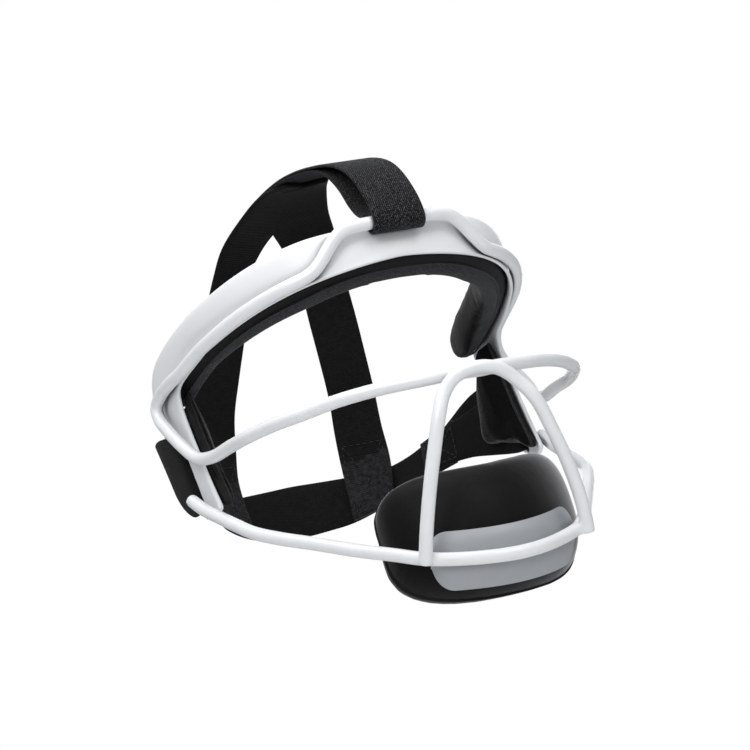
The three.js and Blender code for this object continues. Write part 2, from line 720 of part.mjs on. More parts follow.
const COLOURS = {
  shell: { color: 0xe9ebed, roughness: 0.35, metalness: 0 },
  wire: { color: 0xe4e7ea, roughness: 0.3, metalness: 0 },
  foam: { color: 0x2b2b2e, roughness: 0.9, metalness: 0 },
  plate: { color: 0xa9afb3, roughness: 0.4, metalness: 0 },
  elastic: { color: 0x1c1d20, roughness: 0.85, metalness: 0 },
  webbing: { color: 0x17181a, roughness: 0.9, metalness: 0 },
};

const mask = new THREE.Group();

function piece(name, geometry, finish) {
  const mesh = new THREE.Mesh(geometry, new THREE.MeshStandardMaterial(COLOURS[finish]));
  mesh.name = name;
  mask.add(mesh);
}

piece('headband_shell', headbandShell(), 'shell');
piece('face_guard', faceGuard(), 'wire');
piece('forehead_pad', foreheadPad(), 'foam');
piece('cheek_pad_left', cheekPad(1), 'foam');
piece('cheek_pad_right', cheekPad(-1), 'foam');
piece('chin_pad', chinPad(), 'foam');
piece('chin_plate', chinPlate(), 'plate');
piece('top_strap', topStrap(), 'elastic');
piece('crown_yoke', crownYoke(), 'webbing');
piece('back_strap', backStrap(), 'webbing');
piece('side_tab_left', sideTab(1), 'webbing');
piece('side_tab_right', sideTab(-1), 'webbing');

export default mask;
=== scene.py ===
# %% [markdown]
# # A softball fielder's mask
#
# The mask is a wire face guard on a plastic headband. Soft pads line the band, the cheeks and the chin, and
# straps hold it on the head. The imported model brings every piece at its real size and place. This lesson
# dresses each of them: it builds the same shape again with finer surfaces, adds seams and stitching, and
# gives it a finish.

# %% Load the frame
import math

import bmesh
import bpy
import numpy as np
from mathutils import Matrix, Vector


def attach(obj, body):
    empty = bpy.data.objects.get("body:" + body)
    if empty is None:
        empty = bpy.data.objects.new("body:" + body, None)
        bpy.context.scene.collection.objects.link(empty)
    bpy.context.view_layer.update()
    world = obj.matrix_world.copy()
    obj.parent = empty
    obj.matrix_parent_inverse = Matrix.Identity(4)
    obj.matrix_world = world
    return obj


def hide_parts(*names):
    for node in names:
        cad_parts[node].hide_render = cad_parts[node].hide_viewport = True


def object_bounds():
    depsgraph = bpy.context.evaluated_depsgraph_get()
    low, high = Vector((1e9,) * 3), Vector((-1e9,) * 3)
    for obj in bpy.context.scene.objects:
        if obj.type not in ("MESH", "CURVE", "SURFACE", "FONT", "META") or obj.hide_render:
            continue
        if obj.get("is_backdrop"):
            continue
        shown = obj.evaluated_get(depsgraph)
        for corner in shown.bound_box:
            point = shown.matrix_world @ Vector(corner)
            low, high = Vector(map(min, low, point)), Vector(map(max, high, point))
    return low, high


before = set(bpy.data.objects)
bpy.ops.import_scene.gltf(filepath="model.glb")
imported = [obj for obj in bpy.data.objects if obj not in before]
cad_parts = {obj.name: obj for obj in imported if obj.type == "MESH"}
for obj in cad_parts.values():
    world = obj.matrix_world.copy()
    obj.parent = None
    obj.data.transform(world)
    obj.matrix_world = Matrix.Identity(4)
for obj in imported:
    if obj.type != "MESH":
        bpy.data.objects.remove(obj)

MM = 0.001               # the tables below are in millimetres, and Blender's unit is the metre
SIDES = {"left": 1, "right": -1}         # the sign of x on the wearer's left and right
cad_box = [list(corner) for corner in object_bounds()]
size_mm = [round((high - low) / MM) for low, high in zip(*cad_box)]
print("nodes:", ", ".join(sorted(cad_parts)))
print("size in mm:", size_mm)

# %% [markdown]
# ## Writing shaders as formulas
#
# A finish is a formula: dark yarn where the rib is low, light where it is high. Nodes hide such a formula
# in a web of boxes, so one small class wraps a node's output and lets Python's own operators add the Math
# nodes. Everything else comes from one method that takes a node's type, its settings and its inputs.


# %% A socket that understands + - * /
class Sock:
    """An output of a node. A formula of such outputs and numbers adds nodes to the tree that they are in."""

    def __init__(self, nodes, socket):
        self.nodes = nodes
        self.socket = socket

    def math(self, operation, *values):
        """One Math node of these values, or one Vector Math node where any of them is a vector."""
        vectors = any(isinstance(v, Sock) and v.socket.type in ("VECTOR", "RGBA") for v in values)
        kind = "ShaderNodeVectorMath" if vectors else "ShaderNodeMath"
        return self.nodes.node(kind, {"operation": operation}, dict(enumerate(values)))

    def __add__(self, other):
        return self.math("ADD", self, other)

    def __radd__(self, other):
        return self.math("ADD", other, self)

    def __sub__(self, other):
        return self.math("SUBTRACT", self, other)

    def __rsub__(self, other):
        return self.math("SUBTRACT", other, self)

    def __mul__(self, other):
        return self.math("MULTIPLY", self, other)

    def __rmul__(self, other):
        return self.math("MULTIPLY", other, self)

    def __truediv__(self, other):
        return self.math("DIVIDE", self, other)

    def wave(self, period):
        """0 to 1 and back, once in each period."""
        angle = self * (2 * math.pi / period)
        return angle.math("SINE", angle) * 0.5 + 0.5

    def between(self, low, high):
        """0 below low, 1 above high, and smooth in between."""
        settings = {"interpolation_type": "SMOOTHSTEP"}
        inputs = {"Value": self, "From Min": low, "From Max": high}
        return self.nodes.node("ShaderNodeMapRange", settings, inputs)


print("sockets can be added and multiplied")


# %% A tree of nodes, and a finish
class Nodes:
    """A node tree, and the one method that adds any kind of node to it."""

    def __init__(self, tree):
        self.tree = tree

    def node(self, kind, settings=None, inputs=None, output=0):
        """Makes a node, sets its settings, fills its inputs and gives back one of its outputs."""
        made = self.tree.nodes.new(kind)
        for setting, value in (settings or {}).items():
            setattr(made, setting, value)
        for socket, value in (inputs or {}).items():
            self.plug(value, made.inputs[socket])
        return Sock(self, made.outputs[output])

    def plug(self, value, socket):
        if isinstance(value, Sock):
            self.tree.links.new(value.socket, socket)
        elif socket.type == "VECTOR" and isinstance(value, (int, float)):
            socket.default_value = (value, value, value)
        elif socket.type == "RGBA":
            socket.default_value = (*value, 1)
        else:
            socket.default_value = value


class Finish(Nodes):
    """A material with one Principled shader. What is the same all over is set on its sockets."""

    def __init__(self, name, **uniform):
        self.material = bpy.data.materials.new(name)
        self.material.use_nodes = True
        super().__init__(self.material.node_tree)
        self.shader = self.tree.nodes["Principled BSDF"]
        for socket, value in uniform.items():
            self.shader.inputs[socket.replace("_", " ")].default_value = value

    def feed(self, **varying):
        """Plugs what changes over the surface into the shader."""
        for socket, value in varying.items():
            self.plug(value, self.shader.inputs[socket.replace("_", " ")])

    def place(self):
        """Where a point of the mask is, in millimetres."""
        return self.node("ShaderNodeTexCoord", output="Object") / MM

    def yarn(self, along=True):
        """How far a point of a strap lies along it, or across it, in millimetres."""
        weave = self.node("ShaderNodeAttribute", {"attribute_name": "weave"}, output="Vector")
        return self.node("ShaderNodeSeparateXYZ", {}, {"Vector": weave}, output="X" if along else "Y")

    def noise(self, size, detail=2):
        """Soft random patches about size millimetres across, around 0.5."""
        inputs = {"Vector": self.place(), "Scale": 1 / size, "Detail": detail}
        return self.node("ShaderNodeTexNoise", {}, inputs, output="Fac")

    def open_to_light(self, reach):
        """0 deep in a crevice, 1 where nothing stands within reach millimetres."""
        inputs = {"Distance": reach * MM}
        return self.node("ShaderNodeAmbientOcclusion", {"samples": 8}, inputs, output="AO")

    def mix(self, share, first, second):
        """The first colour where share is 0, the second where it is 1."""
        inputs = {0: share, 6: first, 7: second}         # a Mix node numbers its colour inputs 6 and 7
        return self.node("ShaderNodeMix", {"data_type": "RGBA"}, inputs, output=2)

    def bump(self, height, depth):
        """Raises the surface by depth millimetres where height is 1."""
        inputs = {"Height": height, "Distance": depth * MM, "Strength": 1}
        self.feed(Normal=self.node("ShaderNodeBump", {}, inputs))


def grey(level, blue=0.0):
    """A near-grey colour; blue above 0 makes it cooler."""
    return (level * (1 - blue), level, level * (1 + blue))


print("shader helpers ready")

# %% [markdown]
# ## The studio
#
# Product pictures of white goods are taken in a white room: the background glows, and soft light comes from
# above and in front. The world is white to the camera and dimmer to the mask, so that white plastic still
# shows its shading against it. A long lens from far away keeps the wires nearly parallel, as on a catalogue
# page.

# %% Camera
scene = bpy.context.scene
scene.view_settings.view_transform = "Standard"

EYE = Vector((-0.53685, -1.21543, -0.44361))     # in front, on the wearer's right, a little below the chin
AHEAD = Vector((0.39621, 0.86460, 0.30902))
CAMERA_UP = Vector((0.15909, -0.39612, 0.90432))
LENS, SENSOR = 144, 36   # focal length and width of the sensor, in mm

lens = bpy.data.cameras.new("long_lens")
lens.lens = LENS
lens.sensor_width = SENSOR
camera = bpy.data.objects.new("camera", lens)
right = AHEAD.cross(CAMERA_UP)
camera.matrix_world = Matrix.Translation(EYE) @ Matrix((right, CAMERA_UP, -AHEAD)).transposed().to_4x4()
scene.collection.objects.link(camera)
scene.camera = camera
print("camera", round(EYE.length, 2), "m from the mask, lens", LENS, "mm")


# %% Lights
def softbox(name, place, aim, size, watts):
    """A square area light at place, facing aim."""
    light = bpy.data.lights.new(name, "AREA")
    light.size = size
    light.energy = watts
    lamp = bpy.data.objects.new(name, light)
    lamp.location = place
    lamp.rotation_euler = (Vector(aim) - Vector(place)).to_track_quat("-Z", "Y").to_euler()
    scene.collection.objects.link(lamp)
    print(f"{name}: {watts} W")


FACE = (0, -0.05, 0)     # behind the eye bar, where the lights above and in front aim
softbox("overhead", (-0.25, -0.35, 1.3), FACE, size=1.2, watts=15)
softbox("front_right", (-1.0, -1.3, 0.45), FACE, size=0.8, watts=9.5)
softbox("front_left", (0.45, -1.5, 0.8), FACE, size=0.8, watts=7)
softbox("rear", (0.7, 1.2, 0.6), (0, 0, 0), size=1.0, watts=5)

# %% Backdrop and floor
world = bpy.data.worlds.new("white_room")
world.use_nodes = True
scene.world = world
room = Nodes(world.node_tree)
room.tree.nodes.clear()
direction = room.node("ShaderNodeTexCoord", output="Generated")
height = room.node("ShaderNodeSeparateXYZ", {}, {"Vector": direction}, output="Z")
# the walls are lit from above, and the floor is in shade
dim = {"Value": height, "From Min": -0.6, "From Max": 0.8, "To Min": 0.08, "To Max": 0.5}
glow = room.node("ShaderNodeMapRange", {}, dim)
to_mask = room.node("ShaderNodeBackground", {}, {"Color": (0.93, 0.96, 1), "Strength": glow})
to_camera = room.node("ShaderNodeBackground", {}, {"Color": (1, 1, 1)})
seen = room.node("ShaderNodeLightPath", output="Is Camera Ray")
walls = room.node("ShaderNodeMixShader", {}, {0: seen, 1: to_mask, 2: to_camera})
room.plug(walls, room.tree.nodes.new("ShaderNodeOutputWorld").inputs["Surface"])

FLOOR_Z = -0.95          # the mask hangs as a head would hold it, well above the floor
bpy.ops.mesh.primitive_plane_add(size=8, location=(0, 0, FLOOR_Z))
floor = bpy.context.object
floor.name = "floor"
pale = Finish("pale_floor", Base_Color=(*grey(0.92), 1), Roughness=0.9)
floor.data.materials.append(pale.material)
floor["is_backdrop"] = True
print("floor at", FLOOR_Z, "m")

# %% [markdown]
# ## White plastic and coated wire
#
# The headband is injection-moulded: white, half gloss, with the faint orange-peel that a mould leaves. The
# wire is steel dipped in a white coating, glossier and a little wavy, since the coating runs before it
# sets. Both are nearly one colour, so the life is in the roughness, in bumps of a few hundredths of a
# millimetre, and in painted shade: both darken where another piece stands close, as a contact shadow.

# %% Finishes of the hard pieces
moulded = Finish("moulded_white", Roughness=0.36, Specular_IOR_Level=0.45)
cloudy = moulded.noise(28, detail=3)
peel = moulded.noise(1.3, detail=2)
unshaded = moulded.mix(cloudy, grey(0.82, 0.012), grey(0.87, 0.006))
# painted shade: the plastic turns near black where another piece, such as the wire, stands within 3 mm, as a
# contact shadow
crevice = 1 - moulded.open_to_light(3).between(0.25, 0.6)
moulded.feed(
    Base_Color=moulded.mix(crevice, unshaded, grey(0.05)),
    Roughness=moulded.noise(9, detail=4) * 0.14 + 0.29,
)
moulded.bump(peel + moulded.noise(0.35), 0.012)

coated = Finish("white_coating", Roughness=0.28, Coat_Weight=0.35, Coat_Roughness=0.18)
runs = coated.noise(7, detail=2)
unshaded = coated.mix(runs, grey(0.82, 0.014), grey(0.88, 0.008))
# painted shade: the coating turns dark grey where the band or another wire stands within 5 mm, as the dark
# line along the wire's underside
crevice = 1 - coated.open_to_light(5).between(0.42, 0.7)
coated.feed(
    Base_Color=coated.mix(crevice, unshaded, grey(0.12)),
    Roughness=coated.noise(3, detail=3) * 0.16 + 0.24,
)
coated.bump(runs * 0.8 + coated.noise(1.6) * 0.2, 0.04)

plate = Finish("pale_grey_plastic", Roughness=0.42)
plate.feed(
    Base_Color=plate.mix(plate.noise(14, detail=3), grey(0.35, 0.04), grey(0.41, 0.04)),
    Roughness=plate.noise(5, detail=4) * 0.16 + 0.34,
)
plate.bump(plate.noise(0.9), 0.02)
print("hard finishes:", moulded.material.name, coated.material.name, plate.material.name)

# %% [markdown]
# ## Foam, lining and piping
#
# The pads are foam with a smooth black skin at the sides and a brushed, dark grey lining towards the face.
# Brushed cloth catches light at its rim, which is what the sheen sockets are for. The chin pad wears a
# tighter, smoother cloth. All of them are nearly black, so they are told apart by how they shine, and not
# by their colour.

# %% Finishes of the pads
lining = Finish(
    "brushed_lining", Roughness=0.9, Sheen_Weight=0.3, Sheen_Roughness=0.22, Specular_IOR_Level=0.06,
)
fuzz = lining.noise(0.55, detail=3)
worn = lining.noise(11, detail=3)
brushed = fuzz.between(0.32, 0.72) * 0.7 + worn * 0.3
facing = lining.node("ShaderNodeNewGeometry", output="Normal")
level = lining.node("ShaderNodeSeparateXYZ", {}, {"Vector": facing}, output="Z")
inside = lining.mix(brushed, grey(0.002, 0.02), grey(0.009, 0.02))
painted_sheen_beneath = lining.mix(brushed, grey(0.02, 0.02), grey(0.075, 0.02))
# painted sheen: where the lining faces down, level is near -1, and the colour is paler there, for the light
# that the brushed nap catches
lining.feed(Base_Color=lining.mix(level.between(-0.85, -0.4), painted_sheen_beneath, inside))
lining.bump(fuzz, 0.25)

foam_skin = Finish("foam_skin", Roughness=0.6, Specular_IOR_Level=0.18)
foam_grain = foam_skin.noise(0.5, detail=3)
foam_skin.feed(
    Base_Color=foam_skin.mix(foam_grain, grey(0.002), grey(0.006)),
    Roughness=foam_skin.noise(4) * 0.2 + 0.5,
)
foam_skin.bump(foam_grain, 0.08)

chin_cloth = Finish(
    "chin_cloth", Roughness=0.5, Sheen_Weight=0.8, Sheen_Roughness=0.3, Specular_IOR_Level=0.12,
)
knit = chin_cloth.noise(0.7, detail=3)
chin_cloth.feed(
    Base_Color=chin_cloth.mix(knit * 0.6 + chin_cloth.noise(16) * 0.4, grey(0.001, 0.02), grey(0.004, 0.03)),
    Roughness=chin_cloth.noise(9, detail=3) * 0.2 + 0.4,
)
chin_cloth.bump(knit, 0.1)

piping = Finish("piping_cord", Roughness=0.6, Sheen_Weight=0.1, Specular_IOR_Level=0.2)
twist = piping.noise(0.8, detail=2)
piping.feed(Base_Color=piping.mix(twist, grey(0.005, 0.03), grey(0.022, 0.04)))
piping.bump(twist, 0.08)
print("pad finishes:", *(finish.material.name for finish in (lining, foam_skin, chin_cloth, piping)))

# %% [markdown]
# ## Webbing, elastic and loop pile
#
# The straps are woven, so their ribs run across the strap, and the shader reads how far along the strap a
# point lies. One function weaves them all: webbing and elastic, each once as it lies free and once, rougher
# and paler, where it is sewn flat. On the tabs the paler sewn end is painted light, for the light falling on
# it. The top strap is loop pile, a mat of bright little loops in slanting rows.


# %% Finishes of the straps
def woven(name, rib, dark, light, relief, gloss, wear=0.3):
    """Webbing with a rib each rib millimetres along it, crossed by finer warp yarns, and worn in patches."""
    finish = Finish(name, Roughness=gloss, Sheen_Weight=0.05, Sheen_Roughness=0.4, Specular_IOR_Level=0.12)
    ribs = finish.yarn(along=True).wave(rib)
    warp = finish.yarn(along=False).wave(0.62)
    cloth = ribs * 0.65 + warp * 0.35
    uneven = finish.noise(2.2, detail=4).between(0.3, 0.7)
    finish.feed(Base_Color=finish.mix(cloth * (1 - wear) + uneven * wear, dark, light))
    finish.bump(cloth + finish.noise(0.4) * 0.35, relief)
    return finish


webbing = woven("black_webbing", 1.05, grey(0.0015), grey(0.012, 0.02), 0.2, 0.72)
sewn_webbing = woven("sewn_webbing", 1.05, grey(0.004), grey(0.036, 0.03), 0.25, 0.72, wear=0.6)
tab_elastic = woven("tab_elastic", 0.9, grey(0.001), grey(0.007, 0.02), 0.2, 0.75)
# painted light: the sewn elastic is paler than the free elastic, for the light that falls on the tab's sewn
# end; its deeper ribs are real
sewn_elastic_painted_light = woven("sewn_elastic_painted_light", 0.9, grey(0.006), grey(0.042, 0.03), 0.25, 0.75)

loops = Finish("loop_pile", Roughness=0.7, Sheen_Weight=0.05, Sheen_Roughness=0.35, Specular_IOR_Level=0.1)
slant = (loops.yarn(True) + loops.yarn(False) * 1.3).wave(1.3)
fleck = loops.noise(0.4, detail=1).between(0.45, 0.63)
glint = fleck * slant.between(0.25, 0.85)
loops.feed(Base_Color=loops.mix(glint, grey(0.002), grey(0.12, 0.04)))
loops.bump(slant * 0.5 + fleck * 0.5, 0.3)

thread = Finish("black_thread", Roughness=0.55)
thread.feed(Base_Color=thread.mix(thread.noise(0.6), grey(0.0012), grey(0.008)))
print("materials so far:", len(bpy.data.materials))

# %% [markdown]
# ## From tables to surfaces
#
# Every piece here is a loft: a row of cross-sections joined by quads. The rows come from short tables of
# real places, and a centripetal Catmull-Rom curve runs through them, because it never loops or overshoots
# where points crowd. Each strap also keeps a point attribute that says how far along and across the strap a
# point lies.


# %% Curves, and halves made whole
def smooth_path(points, shares):
    """Points on the smooth curve through points, at shares from 0 to 1 of it."""
    points = np.asarray(points, float)
    ends = np.vstack([2 * points[0] - points[1], points, 2 * points[-1] - points[-2]])
    place = np.clip(np.asarray(shares, float), 0, 1) * (len(points) - 1)
    i = np.minimum(place.astype(int), len(points) - 2)
    t = (place - i)[:, None]
    p0, p1, p2, p3 = (ends[i + k] for k in range(4))
    d0, d1, d2 = (np.sqrt(np.linalg.norm(b - a, axis=1))[:, None] for a, b in ((p0, p1), (p1, p2), (p2, p3)))
    rise = p2 - p1
    leave = d1 * ((p1 - p0) / d0 - (p2 - p0) / (d0 + d1)) + rise
    arrive = d1 * ((p3 - p2) / d2 - (p3 - p1) / (d1 + d2)) + rise
    return p1 + leave * t + (3 * rise - 2 * leave - arrive) * t**2 + (leave + arrive - 2 * rise) * t**3


def mirror(points):
    """The same points on the wearer's other side."""
    return np.asarray(points, float) * [-1, 1, 1]


def both_sides(left):
    """A row of sections from the wearer's right to left, of which the table gives the left half."""
    left = np.asarray(left, float)
    return np.concatenate([mirror(left[:0:-1]), left])


def run_along(path):
    """How far along a path each of its points lies."""
    return np.concatenate([[0], np.cumsum(np.linalg.norm(np.diff(path, axis=0), axis=1))])


print("curve helpers ready")


# %% Lofts and pieces
def loft_faces(rows, columns):
    """Quads of a tube of rows sections with columns points each, and the two faces that close it."""
    faces = []
    for i in range(rows - 1):
        for j in range(columns):
            k = (j + 1) % columns
            faces.append((i * columns + j, i * columns + k, (i + 1) * columns + k, (i + 1) * columns + j))
    faces.append(tuple(range(columns))[::-1])
    faces.append(tuple(range((rows - 1) * columns, rows * columns)))
    return faces


def make_piece(name, points, faces, finish, weave=None):
    """A mesh piece from points in millimetres, with its faces turned outward."""
    mesh = bpy.data.meshes.new(name)
    mesh.from_pydata((np.asarray(points) * MM).tolist(), [], faces)
    if weave is not None:
        attribute = mesh.attributes.new("weave", "FLOAT_VECTOR", "POINT")
        attribute.data.foreach_set("vector", np.asarray(weave, np.float32).ravel())
    surface = bmesh.new()
    surface.from_mesh(mesh)
    bmesh.ops.recalc_face_normals(surface, faces=surface.faces)
    surface.to_mesh(mesh)
    surface.free()
    mesh.materials.append(finish.material)
    piece = bpy.data.objects.new(name, mesh)
    scene.collection.objects.link(piece)
    shade_smooth(piece)
    return piece


def shade_smooth(piece):
    piece.data.polygons.foreach_set("use_smooth", [True] * len(piece.data.polygons))


def loft(name, sections, finish, weave=None):
    """A closed piece through a row of sections with as many points each."""
    sections = np.asarray(sections, float)
    rows, columns = sections.shape[:2]
    return make_piece(name, sections.reshape(-1, 3), loft_faces(rows, columns), finish, weave)


print("loft helpers ready")


# %% Modifiers, tubes, and the step that puts a piece on the mask
ANY_WAY = [0.31, 0.2, 0.93]      # a direction that no tube here starts along


def modify(piece, kind, **settings):
    """Adds a modifier, and makes its result the piece's own mesh."""
    modifier = piece.modifiers.new(kind.lower(), kind)
    for setting, value in settings.items():
        setattr(modifier, setting, value)
    shaped = piece.evaluated_get(bpy.context.evaluated_depsgraph_get())
    mesh = bpy.data.meshes.new_from_object(shaped)
    piece.modifiers.clear()
    piece.data = mesh
    shade_smooth(piece)
    return piece


def tube_sections(path, radius, sides):
    """Circles square to a path, turned as little as possible from one to the next."""
    path = np.asarray(path, float)
    along = np.gradient(path, axis=0)
    along /= np.linalg.norm(along, axis=1)[:, None]
    side = np.cross(along[0], ANY_WAY)
    angles = np.linspace(0, 2 * math.pi, sides, endpoint=False)
    sections = []
    for point, direction in zip(path, along):
        side = side - direction * side.dot(direction)
        side /= np.linalg.norm(side)
        up = np.cross(direction, side)
        sections.append(point + radius * (np.cos(angles)[:, None] * side + np.sin(angles)[:, None] * up))
    return np.array(sections)


def join(name, pieces):
    """One piece from several."""
    with bpy.context.temp_override(active_object=pieces[0], selected_editable_objects=pieces):
        bpy.ops.object.join()
    pieces[0].name = name
    return pieces[0]


def dress(piece, slot, *nodes):
    """Puts a piece on the mask's one body, in place of the plain nodes it stands for. slot is not used."""
    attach(piece, "root")
    if nodes:
        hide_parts(*nodes)
    triangles = sum(len(p.vertices) - 2 for p in piece.data.polygons)
    print(f"{piece.name}: {triangles} triangles")
    return piece


print("mesh helpers ready")

# %% [markdown]
# ## The plan of the headband
#
# Seen from above, the inside of the band is an oval: squarer than an ellipse at the forehead, rounder at
# the back. Pads, wire and shell all follow it, so each of them is described by how far it lies along the
# oval, how high, and how far outward. That one function keeps them all in step.

# %% The oval and points beside it
HALF_WIDTH, FRONT_LENGTH, BACK_LENGTH = 81, 129.2, 71
WIDEST_Y = 19
FRONT_SQUARENESS = 2.5   # 2 would be an ellipse
OVAL_POINTS = 721

turns = np.linspace(0, math.pi, OVAL_POINTS)
cosine = np.cos(turns)
in_front = cosine >= 0
power = np.where(in_front, 2 / FRONT_SQUARENESS, 1)
length = np.where(in_front, FRONT_LENGTH, BACK_LENGTH)
oval = np.stack([
    HALF_WIDTH * np.abs(np.sin(turns)) ** power,
    WIDEST_Y - length * np.sign(cosine) * np.abs(cosine) ** power,
], axis=1)
oval_run = run_along(oval)
oval_along = np.gradient(oval, axis=0)
oval_along[0] = (1, 0)
oval_along /= np.linalg.norm(oval_along, axis=1)[:, None]


def on_band(run, z, out=0.0):
    """Points run millimetres along the oval from the forehead, out millimetres outside it, at height z."""
    run, z, out = np.broadcast_arrays(np.asarray(run, float), z, out)
    x, y, along_x, along_y = (
        np.interp(np.abs(run), oval_run, column) for column in (*oval.T, *oval_along.T)
    )
    return np.stack([np.where(run < 0, -1, 1) * (x + along_y * out), y - along_x * out, z], axis=-1)


def run_at(y):
    """How far along the oval a given y is reached."""
    return np.interp(y, oval[:, 1], oval_run)


def inward_of(points):
    """How far points inside the oval lie from it, seen from above."""
    x, y = np.abs(points[:, :1]), points[:, 1:2]
    return np.hypot(x - oval[::3, 0], y - oval[::3, 1]).min(axis=1)


def denser(rows, per):
    """A table with per rows for each of its own, on smooth curves down its columns."""
    rows = np.asarray(rows, float)
    before = np.vstack([rows[:1], rows[:-2]])
    after = np.vstack([rows[2:], rows[-1:]])
    a, b = rows[:-1], rows[1:]
    rise, leave, arrive = b - a, (b - before) / 2, (after - a) / 2
    t = np.arange(per)[:, None, None] / per
    eased = a + t * leave + t**2 * (3 * rise - 2 * leave - arrive) + t**3 * (leave + arrive - 2 * rise)
    return np.vstack([eased.transpose(1, 0, 2).reshape(-1, rows.shape[1]), rows[-1:]])


print("half of the oval is", round(oval_run[-1]), "mm round")

# %% [markdown]
# ## The headband shell
#
# One moulded piece: a band over the forehead with a seat pressed in for the wire, and at each temple a
# panel that hangs down beside the cheek. A coarse loft with twelve points round the wall is enough, since
# subdivision rounds the lips as a mould does. The slots for the side tabs are cut afterwards, with a
# rounded bar.

# %% The shell's tables
GAP = 0.3                # air between pieces that touch
WIRE_RADIUS = 2.8
SEAT_WALL, FULL_WALL, PANEL_WALL = 1.3, 3, 2.3

# columns: run, wire height, wire's extra stand-off, top of the seat behind the wire
RIM = np.array([
    [0, 18.4, 2.3, 24], [21, 18.4, 2.3, 24], [27, 16.6, 2, 23], [32, 11.6, 1, 17], [37, 6.2, 0.3, 10.8],
    [42, 3.4, 0, 7.2], [48, 3, 0, 6.5],
])
# columns: run, lower edge, upper edge
BAND_EDGES = np.array([
    [0, 3.2, 20], [14, 2.2, 20.2], [27, 1.2, 20.8], [41, 0.4, 21.5], [56, -0.1, 21.4], [70, -0.6, 21],
    [100, -1.6, 20],
])
# columns: front y, front z, rear y, rear z
PANEL = np.array([
    [-40, -2.2, -40, 19.8], [-30, -3, -28, 19.2], [-22, -3.5, -16, 18.4], [-16, -4.2, -4, 17.2],
    [-13, -5.6, 7, 15.4], [-12, -8, 14.5, 11.5], [-11.4, -11.5, 18.3, 5.5], [-11.4, -16, 19.5, -3],
    [-12.2, -22, 19, -14], [-13.8, -32, 17, -28], [-15.8, -42, 13, -41], [-17.8, -52, 7.4, -53.2],
    [-19.8, -60, -1.6, -62], [-20.8, -64.2, -10, -66.2], [-20.6, -66.4, -16, -67.6],
])
ROWS_TO_PLAIN = 4        # rows over which the wire's seat fades out of the panel
BAND_STEP = 7            # between the band's sections, beyond the rise of the wire
print("tables: band", len(BAND_EDGES), "rows, panel", len(PANEL), "rows")


# %% Build the shell
def band_profile(height, seat_height):
    """Where the outside points lie across the band, and how thick the wall is there."""
    seat = min(seat_height / height, 0.84)
    full = SEAT_WALL + 0.2 if seat_height > height else FULL_WALL
    return np.array([
        [0, 1.7], [1.1 / height, 1.9], [1.6 / height, SEAT_WALL], [seat, SEAT_WALL],
        [min(seat + 1.6 / height, 0.88), full - 0.3], [(seat + 1) / 2, full],
        [0.93, SEAT_WALL + (full - SEAT_WALL) * 0.6], [1, 0.8],
    ])


PANEL_PROFILE = np.array([
    [0, 1.6], [0.05, 2.2], [0.12, PANEL_WALL], [0.3, PANEL_WALL], [0.42, PANEL_WALL], [0.65, PANEL_WALL],
    [0.94, PANEL_WALL - 0.1], [1, 1.4],
])
INSIDE_SHARES = np.array([1, 0.55, 0.1, 0])


def shell_row(front, rear, seat_top, plain):
    """One section of the shell, from its front or lower edge to its rear or upper edge; both are (run, z)."""
    front, rear = np.array(front, float), np.array(rear, float)
    height = np.linalg.norm(rear - front)
    profile = band_profile(height, seat_top - front[1])
    profile += (PANEL_PROFILE - profile) * plain
    shares = np.concatenate([profile[:, 0], INSIDE_SHARES])
    walls = np.concatenate([profile[:, 1], np.zeros(len(INSIDE_SHARES))])
    places = front + (rear - front) * shares[:, None]
    return on_band(places[:, 0], places[:, 1], walls)


band_start, band_end = 55, run_at(PANEL[0][0]) - 4
band_steps = math.ceil((band_end - band_start) / BAND_STEP)
band_runs = [0, 7, 14, 21, 27, 32, 37, 42, 48, *np.linspace(band_start, band_end, band_steps + 1)]
half_shell = []
for run in band_runs:
    lower, upper = (np.interp(run, BAND_EDGES[:, 0], BAND_EDGES[:, k]) for k in (1, 2))
    half_shell.append(shell_row((run, lower), (run, upper), np.interp(run, RIM[:, 0], RIM[:, 3]), 0))
for i, (front_y, front_z, rear_y, rear_z) in enumerate(PANEL):
    plain = min(i / ROWS_TO_PLAIN, 1)
    half_shell.append(shell_row((run_at(front_y), front_z), (run_at(rear_y), rear_z), RIM[-1, 3], plain))
shell = loft("headband", both_sides(half_shell), moulded)
modify(shell, "SUBSURF", levels=2)
print("sections of the shell:", 2 * len(half_shell) - 1)

# %% [markdown]
# ### The slots
#
# A slot could be drawn into the loft, but that would bend every row near it. A Boolean takes a closed
# cutter out of the finished, rounded wall instead, and the cutter is thrown away. Exact mode is slower than
# Fast, and it copes with a cutter that passes right through.

# %% Cut the slots
# upper end (y, z) and lower end of the slot, its width, and how far the cutter stands out of either face
SLOT_TOP, SLOT_BOTTOM, SLOT_WIDTH, CUT_REACH = np.array([0.5, -20]), np.array([-6.5, -62.5]), 3.6, 8


def slot_cutter(side):
    """A rounded bar through a side panel, where the side tab passes."""
    middle, half = (SLOT_TOP + SLOT_BOTTOM) / 2, (SLOT_TOP - SLOT_BOTTOM) / 2
    length = np.linalg.norm(half)
    up = half / length
    across = np.array([up[1], -up[0]])
    radius = SLOT_WIDTH / 2
    outline = []
    for end in (1, -1):
        for angle in np.radians(np.linspace(0, 180, 7)):
            reach = end * (length - radius + radius * math.sin(angle))
            outline.append(middle + up * reach + across * end * radius * math.cos(angle))
    near, far = HALF_WIDTH - CUT_REACH, HALF_WIDTH + CUT_REACH
    sections = [[(side * x, y, z) for y, z in outline] for x in (near, far)]
    return loft("slot_cutter", sections, moulded)


for side in SIDES.values():
    cutter = slot_cutter(side)
    modify(shell, "BOOLEAN", operation="DIFFERENCE", object=cutter, solver="EXACT")
    bpy.data.objects.remove(cutter)
dress(shell, "shell", "headband_shell")

